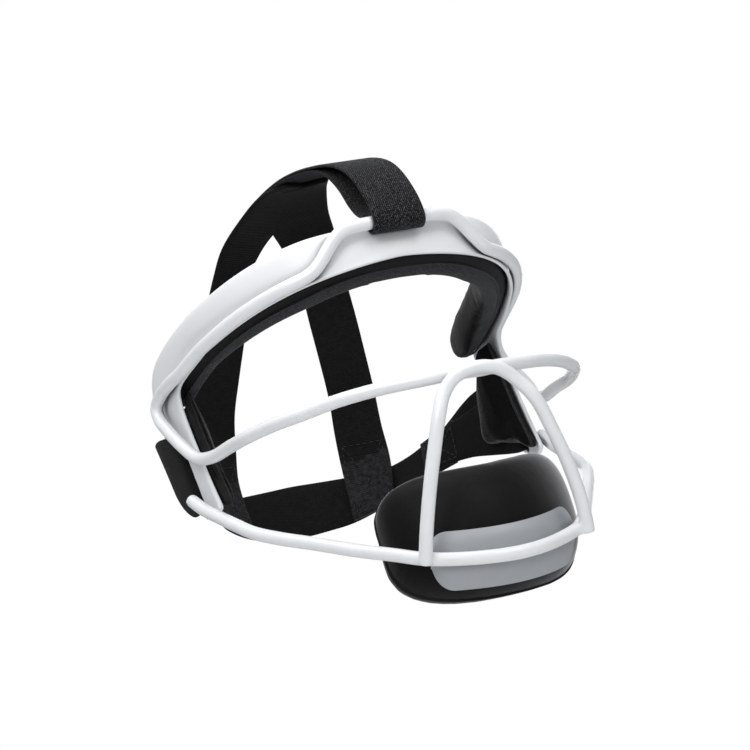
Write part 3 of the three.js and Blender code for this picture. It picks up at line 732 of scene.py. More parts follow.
# %% [markdown]
# ## The face guard
#
# Three wires: a loop that runs along the band, down the temples and across the face as the eye bar; a bar
# round the jaw; and the nose loop between them. Bent wire has no corners, so each is a smooth path through
# a few places. Half of a wire is written down where the other half is its mirror image, and small functions
# add what differs: the loop's way down the right temple, and the lean of the nose loop.

# %% Where the wires run
COAT_SWELL = 0.15        # room for the coating's unevenness
WIRE_OUT = SEAT_WALL + GAP + WIRE_RADIUS + COAT_SWELL      # wire's axis, outward from the inside of the band
BAND_WIRE_END_Y = -42    # up to here the rim loop keeps to its seat in the band
# the rim loop sinks along the band on the wearer's right, and the lip of the band then holds it further out
SINK_START, BAND_SINK, LIP_RELIEF = 44, {"left": 0, "right": 4.2}, 0.5

# the rim loop at the temple, over the side panel and down, drawn as on the left; x, y, z
TEMPLE_BEND = {
    "left": [
        [83.6, -25, 3.1], [85.6, -12, 3], [86.9, -1, 1.4], [87.5, 4.2, -3.8], [87.9, 3.2, -11.2],
    ],
    "right": [
        [83.6, -28.8, -2.5], [85.6, -13.6, -1.8], [86.6, -1.8, -2.6], [87.3, 4.3, -5.5],
        [87.8, 3.2, -11.4],
    ],
}
# the rest of the rim loop: down beside the cheek, round the cheek corner, along the eye bar; x, y, z
CHEEK_AND_EYE_BAR = [
    [88, -4.2, -20.6], [87.4, -13.5, -31.4], [85.4, -22.8, -41.6], [82.9, -35, -46.3],
    [80.7, -51.1, -48.8], [78.6, -70.4, -52.2], [72.7, -88.6, -55.2], [65.2, -103.5, -58],
    [53.7, -116.8, -59.5], [39, -129, -61.8], [23.1, -138.9, -64.6], [7.5, -144.9, -66.4],
    [-1, -146.2, -67.2],
]
# the nose loop, from its top to its foot in front of the jaw bar; x, y, z
NOSE_LOOP = np.array([
    [-1, -150.4, -67.2], [4.7, -150.2, -67.6], [11.3, -149.2, -69.8], [17.1, -147.6, -75],
    [22.5, -146.5, -83.9], [27.3, -141, -95.9], [32.6, -133.2, -111], [36.5, -124.5, -125.3],
    [38.6, -116.1, -137],
])
# how far the loop is moved to the wearer's left, at its top and at its feet; below 0 is to the right
LEAN_TOP, LEAN_FEET = -3.5, 0.5
# the jaw bar, from the middle of the chin to its end beside the panel tip; x, y, z
JAW_BAR = [
    [-1, -126.5, -142.6], [8.9, -125.6, -141.9], [18.2, -122.5, -140], [27.6, -118.1, -137.1],
    [36.1, -113.5, -133.6], [45.2, -104.7, -126.7], [55.3, -91, -117.5], [66, -76.4, -106.9],
    [75.5, -63.1, -97.6], [81.8, -52.4, -89.7], [84.5, -42.1, -81.8], [85.9, -29.3, -72.8],
    [87.5, -16.5, -63.4], [88.6, -8, -55.4],
]
print("places on the nose loop:", len(NOSE_LOOP), "and on half of the jaw bar:", len(JAW_BAR))


# %% Lay out the wires
def rim_loop(side):
    """Half of the rim loop, drawn as on the left."""
    end = run_at(BAND_WIRE_END_Y)
    runs = np.array([-1, 8, 16, 21.5, 25.5, 30, 35, 39.5, 43.5, 48, *np.linspace(58, end, 5)])
    heights, stand_off = (np.interp(np.abs(runs), RIM[:, 0], RIM[:, k]) for k in (1, 2))
    sunk = BAND_SINK[side] * np.clip(runs - SINK_START, 0, None) / (end - SINK_START)
    out = WIRE_OUT + stand_off + np.minimum(sunk * 0.4, LIP_RELIEF)
    return np.vstack([on_band(runs, heights - sunk, out), TEMPLE_BEND[side], CHEEK_AND_EYE_BAR])


def leaning(loop):
    """Half of the nose loop moved sideways, by LEAN_TOP at its top and LEAN_FEET at its foot."""
    top, foot = loop[0, 2], loop[-1, 2]
    moved = loop.copy()
    moved[:, 0] += LEAN_TOP + (LEAN_FEET - LEAN_TOP) * (top - loop[:, 2]) / (top - foot)
    return moved


jaw_bar = np.array(JAW_BAR, float)
paths = [rim_loop("left"), mirror(rim_loop("right")), jaw_bar, mirror(jaw_bar)]
paths += [leaning(NOSE_LOOP), leaning(mirror(NOSE_LOOP))]
print("wire in all:", round(sum(run_along(path)[-1] for path in paths)), "mm")

# %% [markdown]
# ### Welds and coating
#
# Real wires are welded and then dipped, so the coating fills the corners of the welds. A voxel remesh does
# the same: it melts the tubes into one skin, and a little smoothing draws fillets where they meet.
# Smoothing also thins a wire, so the tubes start thicker by as much.

# %% Melt the wires into one
WIRE_STEP, WIRE_SIDES = 1.5, 24
COAT_VOXEL = 0.64        # size of the remesh, small against the wire
COAT_LOSS = 0.3          # what the smoothing takes off the radius


def wire(points):
    steps = math.ceil(run_along(points)[-1] / WIRE_STEP)
    path = smooth_path(points, np.linspace(0, 1, steps + 1))
    return loft("wire", tube_sections(path, WIRE_RADIUS + COAT_LOSS, WIRE_SIDES), coated)


guard = join("face_guard_wires", [wire(path) for path in paths])
modify(guard, "REMESH", mode="VOXEL", voxel_size=COAT_VOXEL * MM)
modify(guard, "SMOOTH", factor=0.5, iterations=24)
dress(guard, "wire", "face_guard")

# %% [markdown]
# ## Points as arrays
#
# Several steps below move or sort thousands of points. foreach_get and foreach_set copy them all at once
# between a mesh and an array, which is far faster than a loop over vertices.


# %% Read and move the points of a piece
def points_of(piece):
    """The piece's points, in millimetres."""
    flat = np.empty(3 * len(piece.data.vertices), np.float32)
    piece.data.vertices.foreach_get("co", flat)
    return flat.reshape(-1, 3).astype(float) / MM


def put_points(piece, points):
    piece.data.vertices.foreach_set("co", (points * MM).astype(np.float32).ravel())
    piece.data.update()


def face_centres(piece):
    flat = np.empty(3 * len(piece.data.polygons), np.float32)
    piece.data.polygons.foreach_get("center", flat)
    return flat.reshape(-1, 3).astype(float) / MM


print("array helpers ready")

# %% [markdown]
# ## How a pad swells
#
# Foam covered in cloth is never flat: the cover is sewn a little small, so the foam pushes it out between
# the seams. The simulation does just that. The pad is drawn slightly small, remeshed into even quads, and
# blown up by a cloth with pressure inside. A cap on how far any point may travel keeps it off its
# neighbours.

# %% A cloth that inflates
PRESSURE, SIM_FRAMES = 4, 20


def swell(piece, voxel, shrink, cap):
    """Remeshes a closed piece, draws it in by shrink, inflates it, and lets no point travel more than cap."""
    modify(piece, "REMESH", mode="VOXEL", voxel_size=voxel * MM)
    modify(piece, "SMOOTH", factor=0.5, iterations=3)
    modify(piece, "DISPLACE", strength=-shrink * MM, mid_level=0)
    rest = points_of(piece)
    cloth = piece.modifiers.new("cloth", "CLOTH")
    cloth.settings.use_pressure = True
    cloth.settings.uniform_pressure_force = PRESSURE
    cloth.settings.effector_weights.gravity = 0
    cloth.settings.mass = 0.2
    cloth.settings.tension_stiffness = 20
    cloth.settings.bending_stiffness = 1
    cloth.point_cache.frame_end = SIM_FRAMES
    for step in range(1, SIM_FRAMES + 1):
        scene.frame_set(step)
    shaped = piece.evaluated_get(bpy.context.evaluated_depsgraph_get())
    moved = np.array([v.co for v in shaped.data.vertices]) / MM - rest
    piece.modifiers.clear()
    scene.frame_set(1)
    travel = np.linalg.norm(moved, axis=1)[:, None].clip(1e-9)
    put_points(piece, rest + moved / travel * cap * np.tanh(travel / cap))
    print(f"{piece.name}: swelled by up to {min(cap, travel.max()):.1f} mm")
    return modify(piece, "SUBSURF", levels=1)


print("pressure", PRESSURE, "for", SIM_FRAMES, "frames")

# %% [markdown]
# ### Creases, second cloths and piping
#
# A crease is pressed in along a path: each point moves inward, and less so the further from the path it
# lies. A seam often parts two cloths, so faces on one side of it get a second finish. The seam itself is a
# thin cord, laid on the nearest places of the swelled surface.

# %% Crease, paint and pipe a pad
CREASE_POINTS = 24
PIPING_STEP, PIPING_SIDES = 0.8, 8       # length of a piece of the cord, and its sides


def crease(piece, path, depth, width):
    """Presses a soft valley into a piece along a path: depth at its middle, gone at width to either side."""
    path = smooth_path(path, np.linspace(0, 1, CREASE_POINTS))
    points = points_of(piece)
    normals = np.array([v.normal for v in piece.data.vertices])
    far = np.linalg.norm(points[:, None] - path[None], axis=2).min(axis=1)
    put_points(piece, points - normals * (depth * np.exp(-((far / width) ** 2) * 3))[:, None])


def paint(piece, finish, chosen):
    """Gives the chosen faces a second finish."""
    piece.data.materials.append(finish.material)
    piece.data.polygons.foreach_set("material_index", np.asarray(chosen, np.int32))


def on_surface(piece, points):
    """The places on a piece that are nearest to points."""
    return np.array([piece.closest_point_on_mesh(Vector(np.asarray(p) * MM))[1] for p in points]) / MM


def cord_along(name, path, radius, finish):
    """A thin round piping along a path."""
    steps = math.ceil(run_along(path)[-1] / PIPING_STEP)
    route = smooth_path(path, np.linspace(0, 1, steps + 1))
    return loft(name, tube_sections(route, radius, PIPING_SIDES), finish)


print("pad helpers ready")

# %% [markdown]
# ## The forehead pad
#
# A long foam pad follows the band from temple to temple and ends in a soft lobe behind each of them. Its
# side is a black skin that shows below the shell as a dark stripe; where the skin meets the brushed lining
# runs a raised seam. The pad comes from one table of sections, and faces nearer the band than the seam get
# the skin.

# %% Build the forehead pad
PAD_GAP = 0.4
# columns: y of the band, seam height, lowest, highest, stand-off from the band, thickness
FOREHEAD_PAD = [
    [-110.2, 0.8, -3.2, 11, 0, 13], [-105, -0.6, -4, 17, 0, 15], [-95, -2, -4.6, 18.5, 0, 16.5],
    [-75, -2, -4.6, 18.6, 0, 15], [-50, -2.2, -4.6, 18.2, 0, 13.6], [-28, -3.2, -4.8, 18, 0, 13],
    [-12, -4.4, -6.4, 17.6, 0, 12.2], [2, -5.4, -7.6, 16.6, 0, 11.2], [13, -3, -5, 15, 0.2, 9.4],
    [21, 1, -1, 13, 1, 7.2], [25.5, 4.6, 3, 10.6, 2, 4.6],
]
SEAM_INWARD = 5.2        # how far inward of the pad's outside the seam runs


def pad_section(seam, low, high, thickness):
    """The pad's outline: inward as a share of its thickness, and height."""
    def up(share):
        return low + (high - low) * share

    seam_in = min(SEAM_INWARD / thickness, 0.5)
    return np.array([
        [0, seam + (high - seam) * 0.16], [seam_in, seam],
        [seam_in + (1 - seam_in) * 0.3, seam + (low - seam) * 0.75], [0.85, low],
        [0.98, up(0.12)], [1, up(0.36)], [1, up(0.7)], [0.9, up(0.92)], [0.62, high], [0, up(0.97)],
    ])


def forehead_sections(rows):
    sections = []
    for y, seam, low, high, stand_off, thickness in rows:
        inward, z = pad_section(seam, low, high, thickness).T
        run = 0 if y <= FOREHEAD_PAD[0][0] else run_at(y)
        sections.append(on_band(run, z, -PAD_GAP - stand_off - inward * thickness))
    return np.array(sections)


half_pad = forehead_sections(denser(FOREHEAD_PAD, 4))
forehead = loft("forehead_cushion", both_sides(half_pad), lining)
swell(forehead, voxel=1.6, shrink=0.5, cap=0.9)

# the lining wrinkles where it turns the corner above each temple; columns: height, y of its front end, depth
WRINKLES = [(3, -91, 0.9), (9, -93, 0.7), (-1.5, -94, 0.6)]
WRINKLE_WIDTH, WRINKLE_INWARD = 2.2, 15
for side in SIDES.values():
    for z, front_y, depth in WRINKLES:
        route = [(front_y, z), (-88, z + 1), (-78, z + 3)]
        wrinkle = [on_band(run_at(y), at_z, -WRINKLE_INWARD) * [side, 1, 1] for y, at_z in route]
        crease(forehead, wrinkle, depth, WRINKLE_WIDTH)

centres = face_centres(forehead)
table = np.array(FOREHEAD_PAD)
skin_depth = PAD_GAP + table[:, 4] + np.minimum(table[:, 5] * 0.5, SEAM_INWARD)
paint(forehead, foam_skin, inward_of(centres) < np.interp(centres[:, 1], table[:, 0], skin_depth))
dress(forehead, "pad", "forehead_pad")

seam_line = both_sides(half_pad)[:, 1]
seam = cord_along("forehead_seam", seam_line, 0.42, piping)
dress(seam, "pad")

# %% [markdown]
# ## The cheek pads
#
# Each side panel is lined with a pad shaped like a shark's fin. A cord is sewn into its front edge, a few
# millimetres inside the panel, and a narrow black side joins that edge to the panel. Behind it the pad is
# hollowed so that the side tab can pass between pad and panel.

# %% Build the cheek pads
# columns: front y, front z, rear y, rear z, thickness
CHEEK_PAD = [
    [-11.4, -6.2, 1, -8.6, 5.8], [-12.6, -14, 6, -17, 6.8], [-14.4, -23.5, 12.5, -25, 7.6],
    [-16.6, -34.5, 16, -36, 8], [-18.6, -44, 18.5, -44, 8], [-20.4, -51, 14.5, -49, 8],
    [-21.8, -57, 5, -52.5, 7.8], [-22.8, -61, -5, -57, 7], [-22.8, -64, -13.5, -62, 6],
    [-21.8, -65.6, -17, -64.6, 4],
]
PIPING_DEPTH = 4         # how far inward from the band the cord at the front edge lies
SIDE_WIDTH, BACK_DEPTH = 2.5, 2.2        # how far the skin reaches from the front edge, and from the band
# columns: y, distance from the band that the tab needs
TAB_ROOM = np.array([[-8.5, PAD_GAP], [-6, 3.5], [2, 4], [6, 4.5], [12, 5.4], [20, 7.4]])
# across a section: share from the front to the rear edge, and height above the back, a share of the thickness
CHEEK_SECTION = np.array([
    [0.1, 0.85], [0.3, 1], [0.6, 0.9], [0.88, 0.6], [1, 0.3], [1, 0], [0.72, 0], [0.45, 0], [0.12, 0],
])


def cheek_section(front_y, front_z, rear_y, rear_z, thickness):
    front, rear = run_at(front_y), run_at(rear_y)
    share, height = CHEEK_SECTION.T
    runs = front + (rear - front) * share
    room = np.interp(on_band(runs, 0)[:, 1], TAB_ROOM[:, 0], TAB_ROOM[:, 1])
    points = on_band(runs, front_z + (rear_z - front_z) * share, -room - height * thickness)
    return np.vstack([on_band(front, front_z, -PIPING_DEPTH), points])


cheek_half = np.array([cheek_section(*row) for row in denser(CHEEK_PAD, 4)])
for word, side in SIDES.items():
    cheek = loft(f"cheek_cushion_{word}", cheek_half * [side, 1, 1], lining)
    swell(cheek, voxel=1.3, shrink=0.3, cap=0.6)
    centres = face_centres(cheek)
    front_edge = np.interp(-centres[:, 2], -cheek_half[:, 0, 2], cheek_half[:, 0, 1])
    inward = inward_of(centres)
    at_side = (centres[:, 1] < front_edge + SIDE_WIDTH) & (inward < PIPING_DEPTH + 0.3)
    paint(cheek, foam_skin, at_side | (inward < BACK_DEPTH))
    dress(cheek, "pad", f"cheek_pad_{word}")
    edge = cord_along(f"cheek_piping_{word}", on_surface(cheek, cheek_half[:, 0] * [side, 1, 1]), 0.5, piping)
    dress(edge, "pad")

# %% [markdown]
# ## The chin pad
#
# The chin pad is a fat, bean-shaped foam cushion with a tight cloth skin; a flat backing closes it behind,
# and its edge shows as a fine line round the pad. The pad's sections shrink towards its ends like a
# superellipse, which gives full, square shoulders.

# %% Build the chin pad
# the section in the middle of the chin, going round from the top of its back; y, z
CHIN_PAD_SECTION = [
    [-98, -99], [-103, -95], [-110, -94.8], [-116.3, -100.5], [-119.8, -110], [-120.9, -122],
    [-120.4, -132], [-118.4, -140.2], [-113.8, -146.8], [-106, -151.6], [-98, -153.2],
    [-90.5, -151], [-87, -142.5], [-89.5, -126], [-93.5, -108],
]
CHIN_HALF_WIDTH, CHIN_OFF_CENTRE, CHIN_BEND, CHIN_RISE, CHIN_FULLNESS = 48.1, 6.8, 46, 10.6, 3.6
CHIN_MIDDLE = np.array([-105, -126])


def chin_section(turn, outline):
    """The pad's outline at a turn from -1, its right end, to 1, its left end."""
    width = math.sin(turn * math.pi / 2)
    x = CHIN_OFF_CENTRE + CHIN_HALF_WIDTH * width
    shrink = (1 - min(abs(width), 0.998) ** CHIN_FULLNESS) ** (1 / CHIN_FULLNESS)
    middle = CHIN_MIDDLE + [x * x / (2 * CHIN_BEND), CHIN_RISE * (x / CHIN_HALF_WIDTH) ** 2]
    points = middle + (np.asarray(outline, float) - CHIN_MIDDLE) * shrink
    return np.column_stack([np.full(len(points), x), points])


closed_outline = CHIN_PAD_SECTION + CHIN_PAD_SECTION[:1]
chin_outline = smooth_path(closed_outline, np.linspace(0, 1, 46))[:-1]
chin = loft("chin_cushion", [chin_section(t, chin_outline) for t in np.linspace(-1, 1, 49)], chin_cloth)
swell(chin, voxel=2.0, shrink=0.4, cap=1.0)
dress(chin, "pad", "chin_pad")

# the edge of the backing, along the top of the back and along its foot
BACKING_TOP, BACKING_FOOT = [[-101.3, -97.2]], [[-101.5, -153.9]]
turns_round = np.linspace(-0.97, 0.97, 41)
ring = [chin_section(t, BACKING_TOP)[0] for t in turns_round]
ring += [chin_section(t, BACKING_FOOT)[0] for t in turns_round[::-1]]
ring.append(ring[0])
backing = cord_along("chin_backing_edge", on_surface(chin, ring), 0.75, foam_skin)
dress(backing, "pad")

# %% [markdown]
# ### The chin plate
#
# In front of the pad a pale plastic plate, held behind the jaw bar, spreads a blow. It is a sheet bent round
# the pad. Building only its front face and letting Solidify give it two millimetres keeps the wall even; a
# bevel then rounds its rim, so that it draws a fine bright line there.

# %% Build the chin plate
# the front face in the middle of the chin, from top to bottom; y, z
PLATE_SECTION = [
    [-123.9, -128.6], [-124.2, -132.6], [-123.2, -137.2], [-122.5, -142.6], [-120.3, -147],
    [-114.3, -151.8],
]
PLATE_HALF_WIDTH, PLATE_OFF_CENTRE, PLATE_THICKNESS, PLATE_CORNER = 35.5, 2.6, 2, 8.5
PLATE_BEND, PLATE_RISE = 46, 7.8
PLATE_FULLNESS, PLATE_END = 2.2, 0.3     # how square its corners are, and the share of its height at its ends
PLATE_MIDDLE = np.array([-123, -140.2])


def plate_column(turn, outline):
    reach = PLATE_HALF_WIDTH * math.sin(turn * math.pi / 2)
    in_corner = max(abs(reach) - (PLATE_HALF_WIDTH - PLATE_CORNER), 0) / PLATE_CORNER
    x = reach + PLATE_OFF_CENTRE
    shrink = max(math.sqrt(max(1 - in_corner**PLATE_FULLNESS, 0)), PLATE_END)
    middle = PLATE_MIDDLE + [x * x / (2 * PLATE_BEND), PLATE_RISE * (x / PLATE_HALF_WIDTH) ** 2]
    points = middle + (outline - PLATE_MIDDLE) * shrink
    return np.column_stack([np.full(len(points), x), points])


plate_outline = smooth_path(PLATE_SECTION, np.linspace(0, 1, 25))
columns = np.array([plate_column(t, plate_outline) for t in np.linspace(-1, 1, 65)])
count = len(plate_outline)
grid = [(i * count + j, i * count + j + 1, (i + 1) * count + j + 1, (i + 1) * count + j)
        for i in range(len(columns) - 1) for j in range(count - 1)]
chin_plate = make_piece("chin_plate_moulding", columns.reshape(-1, 3), grid, plate)
front_up = chin_plate.data.polygons[len(grid) // 2].normal.y < 0
modify(chin_plate, "SOLIDIFY", thickness=PLATE_THICKNESS * MM, offset=-1 if front_up else 1)
modify(chin_plate, "BEVEL", width=0.55 * MM, segments=3, limit_method="ANGLE", angle_limit=math.radians(50))
dress(chin_plate, "plate", "chin_plate")

# %% [markdown]
# ## Straps
#
# A strap is two edges and a thickness. Given those, any point of it can be named by how far along it lies,
# how far across, and how far above its middle, and so can every stitch sewn on it. Woven edges are round,
# so the section ends in half circles, and no strap that has been worn lies dead flat, so the strap ripples
# by a tenth of a millimetre or two.


# %% A strap
def on_side(edges, side):
    """Both edges of a strap, x, y, z each, on the wearer's left for side 1 and on the right for side -1."""
    return np.asarray(edges, float) * [side, 1, 1, side, 1, 1]


class Strap:
    """rows holds one edge and the other, x, y, z each; thickness is one value, or one for each row."""

    def __init__(self, rows, thickness, ripple=0.12):
        self.rows = np.asarray(rows, float)
        self.half = np.broadcast_to(np.asarray(thickness, float) / 2, len(self.rows))
        self.ripple = ripple

    def frames(self, shares):
        """Both edges, the middle between them, and the direction square to the strap's face."""
        shares = np.asarray(shares, float)
        a, b = (smooth_path(self.rows[:, k:k + 3], shares) for k in (0, 3))
        middle = (a + b) / 2
        step = 1e-3
        ahead, behind = (
            sum(smooth_path(self.rows[:, k:k + 3], np.clip(shares + s, 0, 1)) for k in (0, 3)) / 2
            for s in (step, -step)
        )
        along = ahead - behind
        normal = np.cross(along, b - a)
        normal /= np.linalg.norm(normal, axis=1)[:, None]
        return a, b, middle, normal

    def at(self, shares, across, lift):
        """Points at a share along, at millimetres across from the first edge, lift above the middle."""
        a, b, _, normal = self.frames(shares)
        over = (b - a) / np.linalg.norm(b - a, axis=1)[:, None]
        return a + over * np.asarray(across)[:, None] + normal * np.asarray(lift)[:, None]

    def half_at(self, shares):
        """Half of the thickness."""
        return np.interp(np.asarray(shares) * (len(self.rows) - 1), np.arange(len(self.rows)), self.half)

    def width_at(self, shares):
        a, b, _, _ = self.frames(shares)
        return np.linalg.norm(b - a, axis=1)

    def build(self, name, finish, per_row=8):
        """The strap as a piece, with per_row sections for each row of its table."""
        shares = np.linspace(0, 1, (len(self.rows) - 1) * per_row + 1)
        _, _, middle, _ = self.frames(shares)
        run = run_along(middle)
        flats, bends = np.linspace(0, 1, 7), np.radians([60, 30, 0, -30, -60])
        profile = [(f, 0, 1) for f in flats] + [(1, math.cos(t), math.sin(t)) for t in bends]
        profile += [(f, 0, -1) for f in flats[::-1]]
        profile += [(0, -math.cos(t), math.sin(t)) for t in bends[::-1]]
        half, width = self.half_at(shares), self.width_at(shares)
        wobble = self.ripple * (np.sin(run / 6.1 + 1) * 0.6 + np.sin(run / 2.7) * 0.4)
        sections, weave = [], []
        for inner, beyond, up in profile:
            across = half + inner * (width - 2 * half) + beyond * half
            bow = wobble * math.sin(math.pi * inner)
            sections.append(self.at(shares, across, up * half + bow))
            weave.append(np.column_stack([run, across, np.full(len(run), up)]))
        sections = np.array(sections).transpose(1, 0, 2)
        weave = np.array(weave).transpose(1, 0, 2).reshape(-1, 3)
        return loft(name, sections, finish, weave)


print("straps can be built")

# %% [markdown]
# ### Stitches
#
# Thread shows at a sewn end as rows of short arches with both ends in the cloth. As a pattern in the colour
# it would be lost on black webbing, so each stitch is a real little tube, set out along straight lines on
# the strap's own face.

# %% Stitches
STITCH, STITCH_GAP, THREAD_RADIUS, THREAD_SIDES = 2.4, 0.9, 0.3, 6
ROW_START = 0.3          # from the corner to the first stitch
BOX_ACROSS = (0.1, 0.9)  # the sewn boxes' edges, as shares of the strap's width
STITCH_ARCH = np.array([-0.25, 0.1, 0.18, 0.1, -0.25])     # the thread's height: both ends dive in


def stitch_row(strap, start, end, face):
    """Sections of the stitches on a strap's face, from start to end, each (share along, share across)."""
    start, end = np.array(start, float), np.array(end, float)
    route = start + (end - start) * np.linspace(0, 1, 60)[:, None]
    width, half = strap.width_at(route[:, 0]), strap.half_at(route[:, 0])
    done = run_along(strap.at(route[:, 0], route[:, 1] * width, face * half))
    made = []
    for first in np.arange(ROW_START, done[-1] - STITCH, STITCH + STITCH_GAP):
        places = first + STITCH * np.linspace(0, 1, len(STITCH_ARCH))
        shares = np.interp(places, done, route[:, 0])
        across = np.interp(places, done, route[:, 1]) * strap.width_at(shares)
        path = strap.at(shares, across, face * (strap.half_at(shares) + STITCH_ARCH))
        made.append(tube_sections(path, THREAD_RADIUS, THREAD_SIDES))
    return made


def sew(name, stitches):
    """One piece from the sections of many stitches."""
    points, faces = [], []
    for sections in stitches:
        rows, columns = sections.shape[:2]
        base = len(points)
        points += sections.reshape(-1, 3).tolist()
        faces += [tuple(base + i for i in face) for face in loft_faces(rows, columns)]
    return dress(make_piece(name, points, faces, thread), "webbing")


def box_stitch(strap, along):
    """A sewn box with an X inside, on both faces of a strap, along (from, to) shares of it."""
    (s0, s1), (t0, t1) = along, BOX_ACROSS
    lines = [((s0, t0), (s1, t0)), ((s1, t0), (s1, t1)), ((s1, t1), (s0, t1)), ((s0, t1), (s0, t0))]
    lines += [((s0, t0), (s1, t1)), ((s0, t1), (s1, t0))]
    made = []
    for face in (1, -1):
        for start, end in lines:
            made += stitch_row(strap, start, end, face)
    return made


print("a stitch every", STITCH + STITCH_GAP, "mm")

# %% [markdown]
# ## The top strap
#
# One long elastic comes over the crown, down in front of the raised wire, folds under it, and returns
# behind the wire to be pressed against itself. It is loop pile that grips itself, so no stitches run along
# it. Its end on the crown lies over the legs of the yoke.

# %% Build the top strap
ELASTIC, ELASTIC_OFF = 24.6, -0.9      # the top strap's width, and how far off the middle it lies
# the strap's middle layer in side view, from the crown forward and back again; y, z, thickness
TOP_STRAP = np.array([
    [4, 85.9, 1.1], [-8, 84.9, 1.1], [-24, 82.4, 1.1], [-40, 78.9, 1.1], [-58, 73.4, 1.2], [-74, 67.3, 1.3],
    [-88, 61.2, 1.4], [-99.5, 54.7, 1.5], [-107.9, 47.9, 1.6], [-113.7, 40.4, 1.6], [-117.7, 32.6, 1.6],
    [-120.2, 25.4, 1.6], [-121.1, 19, 1.6], [-120.2, 15.3, 1.5], [-117, 13.8, 1.5], [-113.9, 14.9, 1.5],
    [-112.75, 17.8, 1.5], [-112.6, 20.6, 1.4], [-110.4, 23.9, 1.6], [-105.6, 27.8, 1.6], [-101.3, 34, 1.6],
    [-96.9, 44, 1.6], [-91.2, 52.5, 1.5], [-84.4, 59.2, 1.3], [-73, 66, 1], [-57.6, 72.2, 0.95],
    [-39.8, 77.9, 0.95], [-24, 81.4, 0.95],
])
edge = np.full(len(TOP_STRAP), ELASTIC / 2)
strap_rows = np.column_stack([ELASTIC_OFF - edge, TOP_STRAP[:, :2], ELASTIC_OFF + edge, TOP_STRAP[:, :2]])
top_strap = Strap(strap_rows, TOP_STRAP[:, 2], ripple=0.05)
top_piece = top_strap.build("top_strap_elastic", loops, per_row=6)
dress(top_piece, "elastic", "top_strap")

# %% [markdown]
# ## The crown yoke
#
# Two legs of webbing start under the top strap, cross at the crown and spread down the back of the head to
# the back strap, where each is sewn down with a box and an X. The right leg splays a little wider, as worn
# ones do.

# %% Build the yoke
WEBBING_THICKNESS = 2
# a leg on the left, from under the top strap: inner edge x, y, z, outer edge x, y, z
CROWN_LEG = [
    [-8.6, -26.4, 79.1, 10.6, -39.3, 76.2], [-6.4, -8.2, 81.8, 17, -20.6, 80],
    [-3.4, 12, 79.4, 23.6, 0, 76.8], [4.6, 24.6, 73.2, 29.6, 13.8, 70.6],
    [11, 32, 64.6, 33.1, 25.8, 61.9], [14.2, 38.8, 53.2, 37.2, 35.6, 50.8],
    [17.1, 47.8, 39.4, 41.7, 47.2, 38.4], [21.4, 60.1, 23.2, 45.6, 58.8, 23],
    [25.1, 71.8, 7.9, 48.2, 67.6, 7.4],
]
LEG_END = {
    "left": [
        [25.8, 79.7, -7.8, 47.6, 70.8, -10], [25.4, 82.7, -22, 46.8, 71.2, -26.6],
        [24, 82.6, -40.4, 43.4, 70.2, -42], [23.2, 82.9, -52.2, 40.5, 70.4, -50.5],
    ],
    "right": [
        [27.4, 78.5, -8.1, 49.6, 68, -10.4], [29.9, 80.7, -22.2, 50.8, 65.9, -27.8],
        [30.5, 79.7, -38, 48.3, 64.8, -43], [30, 78.7, -49.5, 44.8, 65.2, -49],
    ],
}
LEG_BOX = (0.79, 0.985)  # the sewn box, as shares of the leg's length
LEG_SEWN_Z = -23         # below this the webbing is sewn flat, which roughens it

legs = [Strap(on_side(CROWN_LEG + LEG_END[word], side), WEBBING_THICKNESS) for word, side in SIDES.items()]
yoke = join("crown_yoke_webbing", [leg.build("leg", webbing) for leg in legs])
paint(yoke, sewn_webbing, face_centres(yoke)[:, 2] < LEG_SEWN_Z)
dress(yoke, "webbing", "crown_yoke")
sew("yoke_stitching", [stitch for leg in legs for stitch in box_stitch(leg, LEG_BOX)])

# %% [markdown]
# ## The back strap
#
# The back strap is one band of webbing round the back of the head, low at the neck. The table gives its
# left half, from the middle of the back to the end that is sewn into the side tab, and the right half
# mirrors it.

# %% Build the back strap
# the left half, from the middle of the back: upper edge x, y, z, lower edge x, y, z
BACK_STRAP = [
    [0, 89.5, -27, 0, 90, -53.5], [12, 89, -27.5, 12, 89.2, -53], [24, 86.8, -28.5, 24, 86.4, -52.4],
    [36, 81.6, -30.3, 35.6, 80.4, -50.4], [46, 76, -31, 44.2, 72.8, -48.2],
    [54, 67, -30.4, 50.9, 62.8, -47], [60, 58.5, -28.8, 56.4, 54.8, -46.6],
    [65, 50.5, -27.4, 61.4, 47, -46.4], [69, 43, -26.6, 65.5, 40, -46.4],
]
back = Strap(np.vstack([on_side(BACK_STRAP, -1)[:0:-1], BACK_STRAP]), WEBBING_THICKNESS)
dress(back.build("back_strap_webbing", webbing), "webbing", "back_strap")

# %% [markdown]
# ## The side tabs
#
# Each end of the back strap is held between the two plies of a tab. The tab is one wide strip of elastic
# that comes from inside the panel, goes out through the slot and turns back, so one table follows it all
# the way round. It narrows from the slot to the strap.

# %% Build the side tabs
TAB_THICKNESS = 1.6
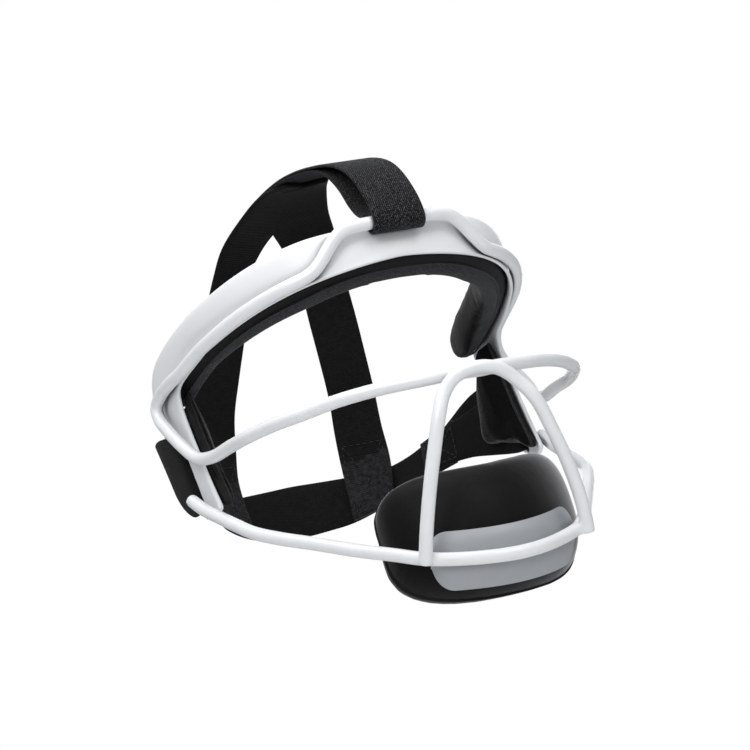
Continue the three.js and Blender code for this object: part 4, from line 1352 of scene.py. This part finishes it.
# the left tab, from the sewn end of its inner ply, through the slot, and back outside; edges as above
SIDE_TAB = [
    [58.3, 57.2, -28.2, 54.4, 53.4, -45.8], [63.2, 49.4, -27, 59.4, 45.8, -45.8],
    [67.2, 41.9, -26.4, 63.6, 38.8, -46.4], [71.7, 33.5, -26, 69.3, 30, -48.4],
    [75.9, 24, -25.6, 74.3, 19.5, -52.6], [78.3, 14, -24.8, 77.4, 8, -57.2],
    [79, 5, -23, 78.6, -1.5, -60.4], [79.4, 1.6, -22, 79.3, -5, -61], [80.3, 0.3, -22, 80.2, -6.2, -61],
    [81.8, -0.1, -22, 81.7, -6.6, -61], [83.3, 0.4, -21.8, 83.2, -6, -61.1],
    [84.1, 1.9, -21.4, 84.1, -4.4, -61.3], [85.2, 10, -18.5, 84.9, 3, -60.4],
    [85.8, 18, -16.4, 85.3, 10.4, -54.2], [84.6, 26, -15.4, 84.4, 18, -45],
    [81, 33, -16, 81.4, 26, -39.8], [76.8, 39.5, -18.6, 76, 33.8, -39.4],
    [72.2, 45.6, -22.4, 69.4, 41.6, -42], [67.4, 51.9, -26, 63.9, 48.6, -44.6],
    [62.3, 60, -28.6, 58.9, 56.6, -45.6],
]
INNER_BOX, OUTER_BOX = (0.012, 0.12), (0.885, 0.985)       # the sewn boxes, as shares of the tab's length
TAB_SEWN_Y = 47          # behind this the tab is sewn to the back strap
for word, side in SIDES.items():
    tab = Strap(on_side(SIDE_TAB, side), TAB_THICKNESS, ripple=0.08)
    elastic = tab.build(f"side_tab_elastic_{word}", tab_elastic)
    # painted light: behind TAB_SEWN_Y the tab gets the paler elastic, which stands in for the light on its
    # sewn end
    paint(elastic, sewn_elastic_painted_light, face_centres(elastic)[:, 1] > TAB_SEWN_Y)
    dress(elastic, "webbing", f"side_tab_{word}")
    sew(f"tab_stitching_{word}", box_stitch(tab, INNER_BOX) + box_stitch(tab, OUTER_BOX))

# %% [markdown]
# ## Check the size and finish
#
# The imported model's box and the dressed model's box are kept side by side, so that any piece that has
# grown too far shows at once.

# %% Keep both boxes and finish
looks_box = [list(corner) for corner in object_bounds()]
growth = [round((b - a) / MM, 1) for cad, looks in zip(cad_box, looks_box) for a, b in zip(cad, looks)]
print("growth of the box in mm, low corner then high corner:", growth)
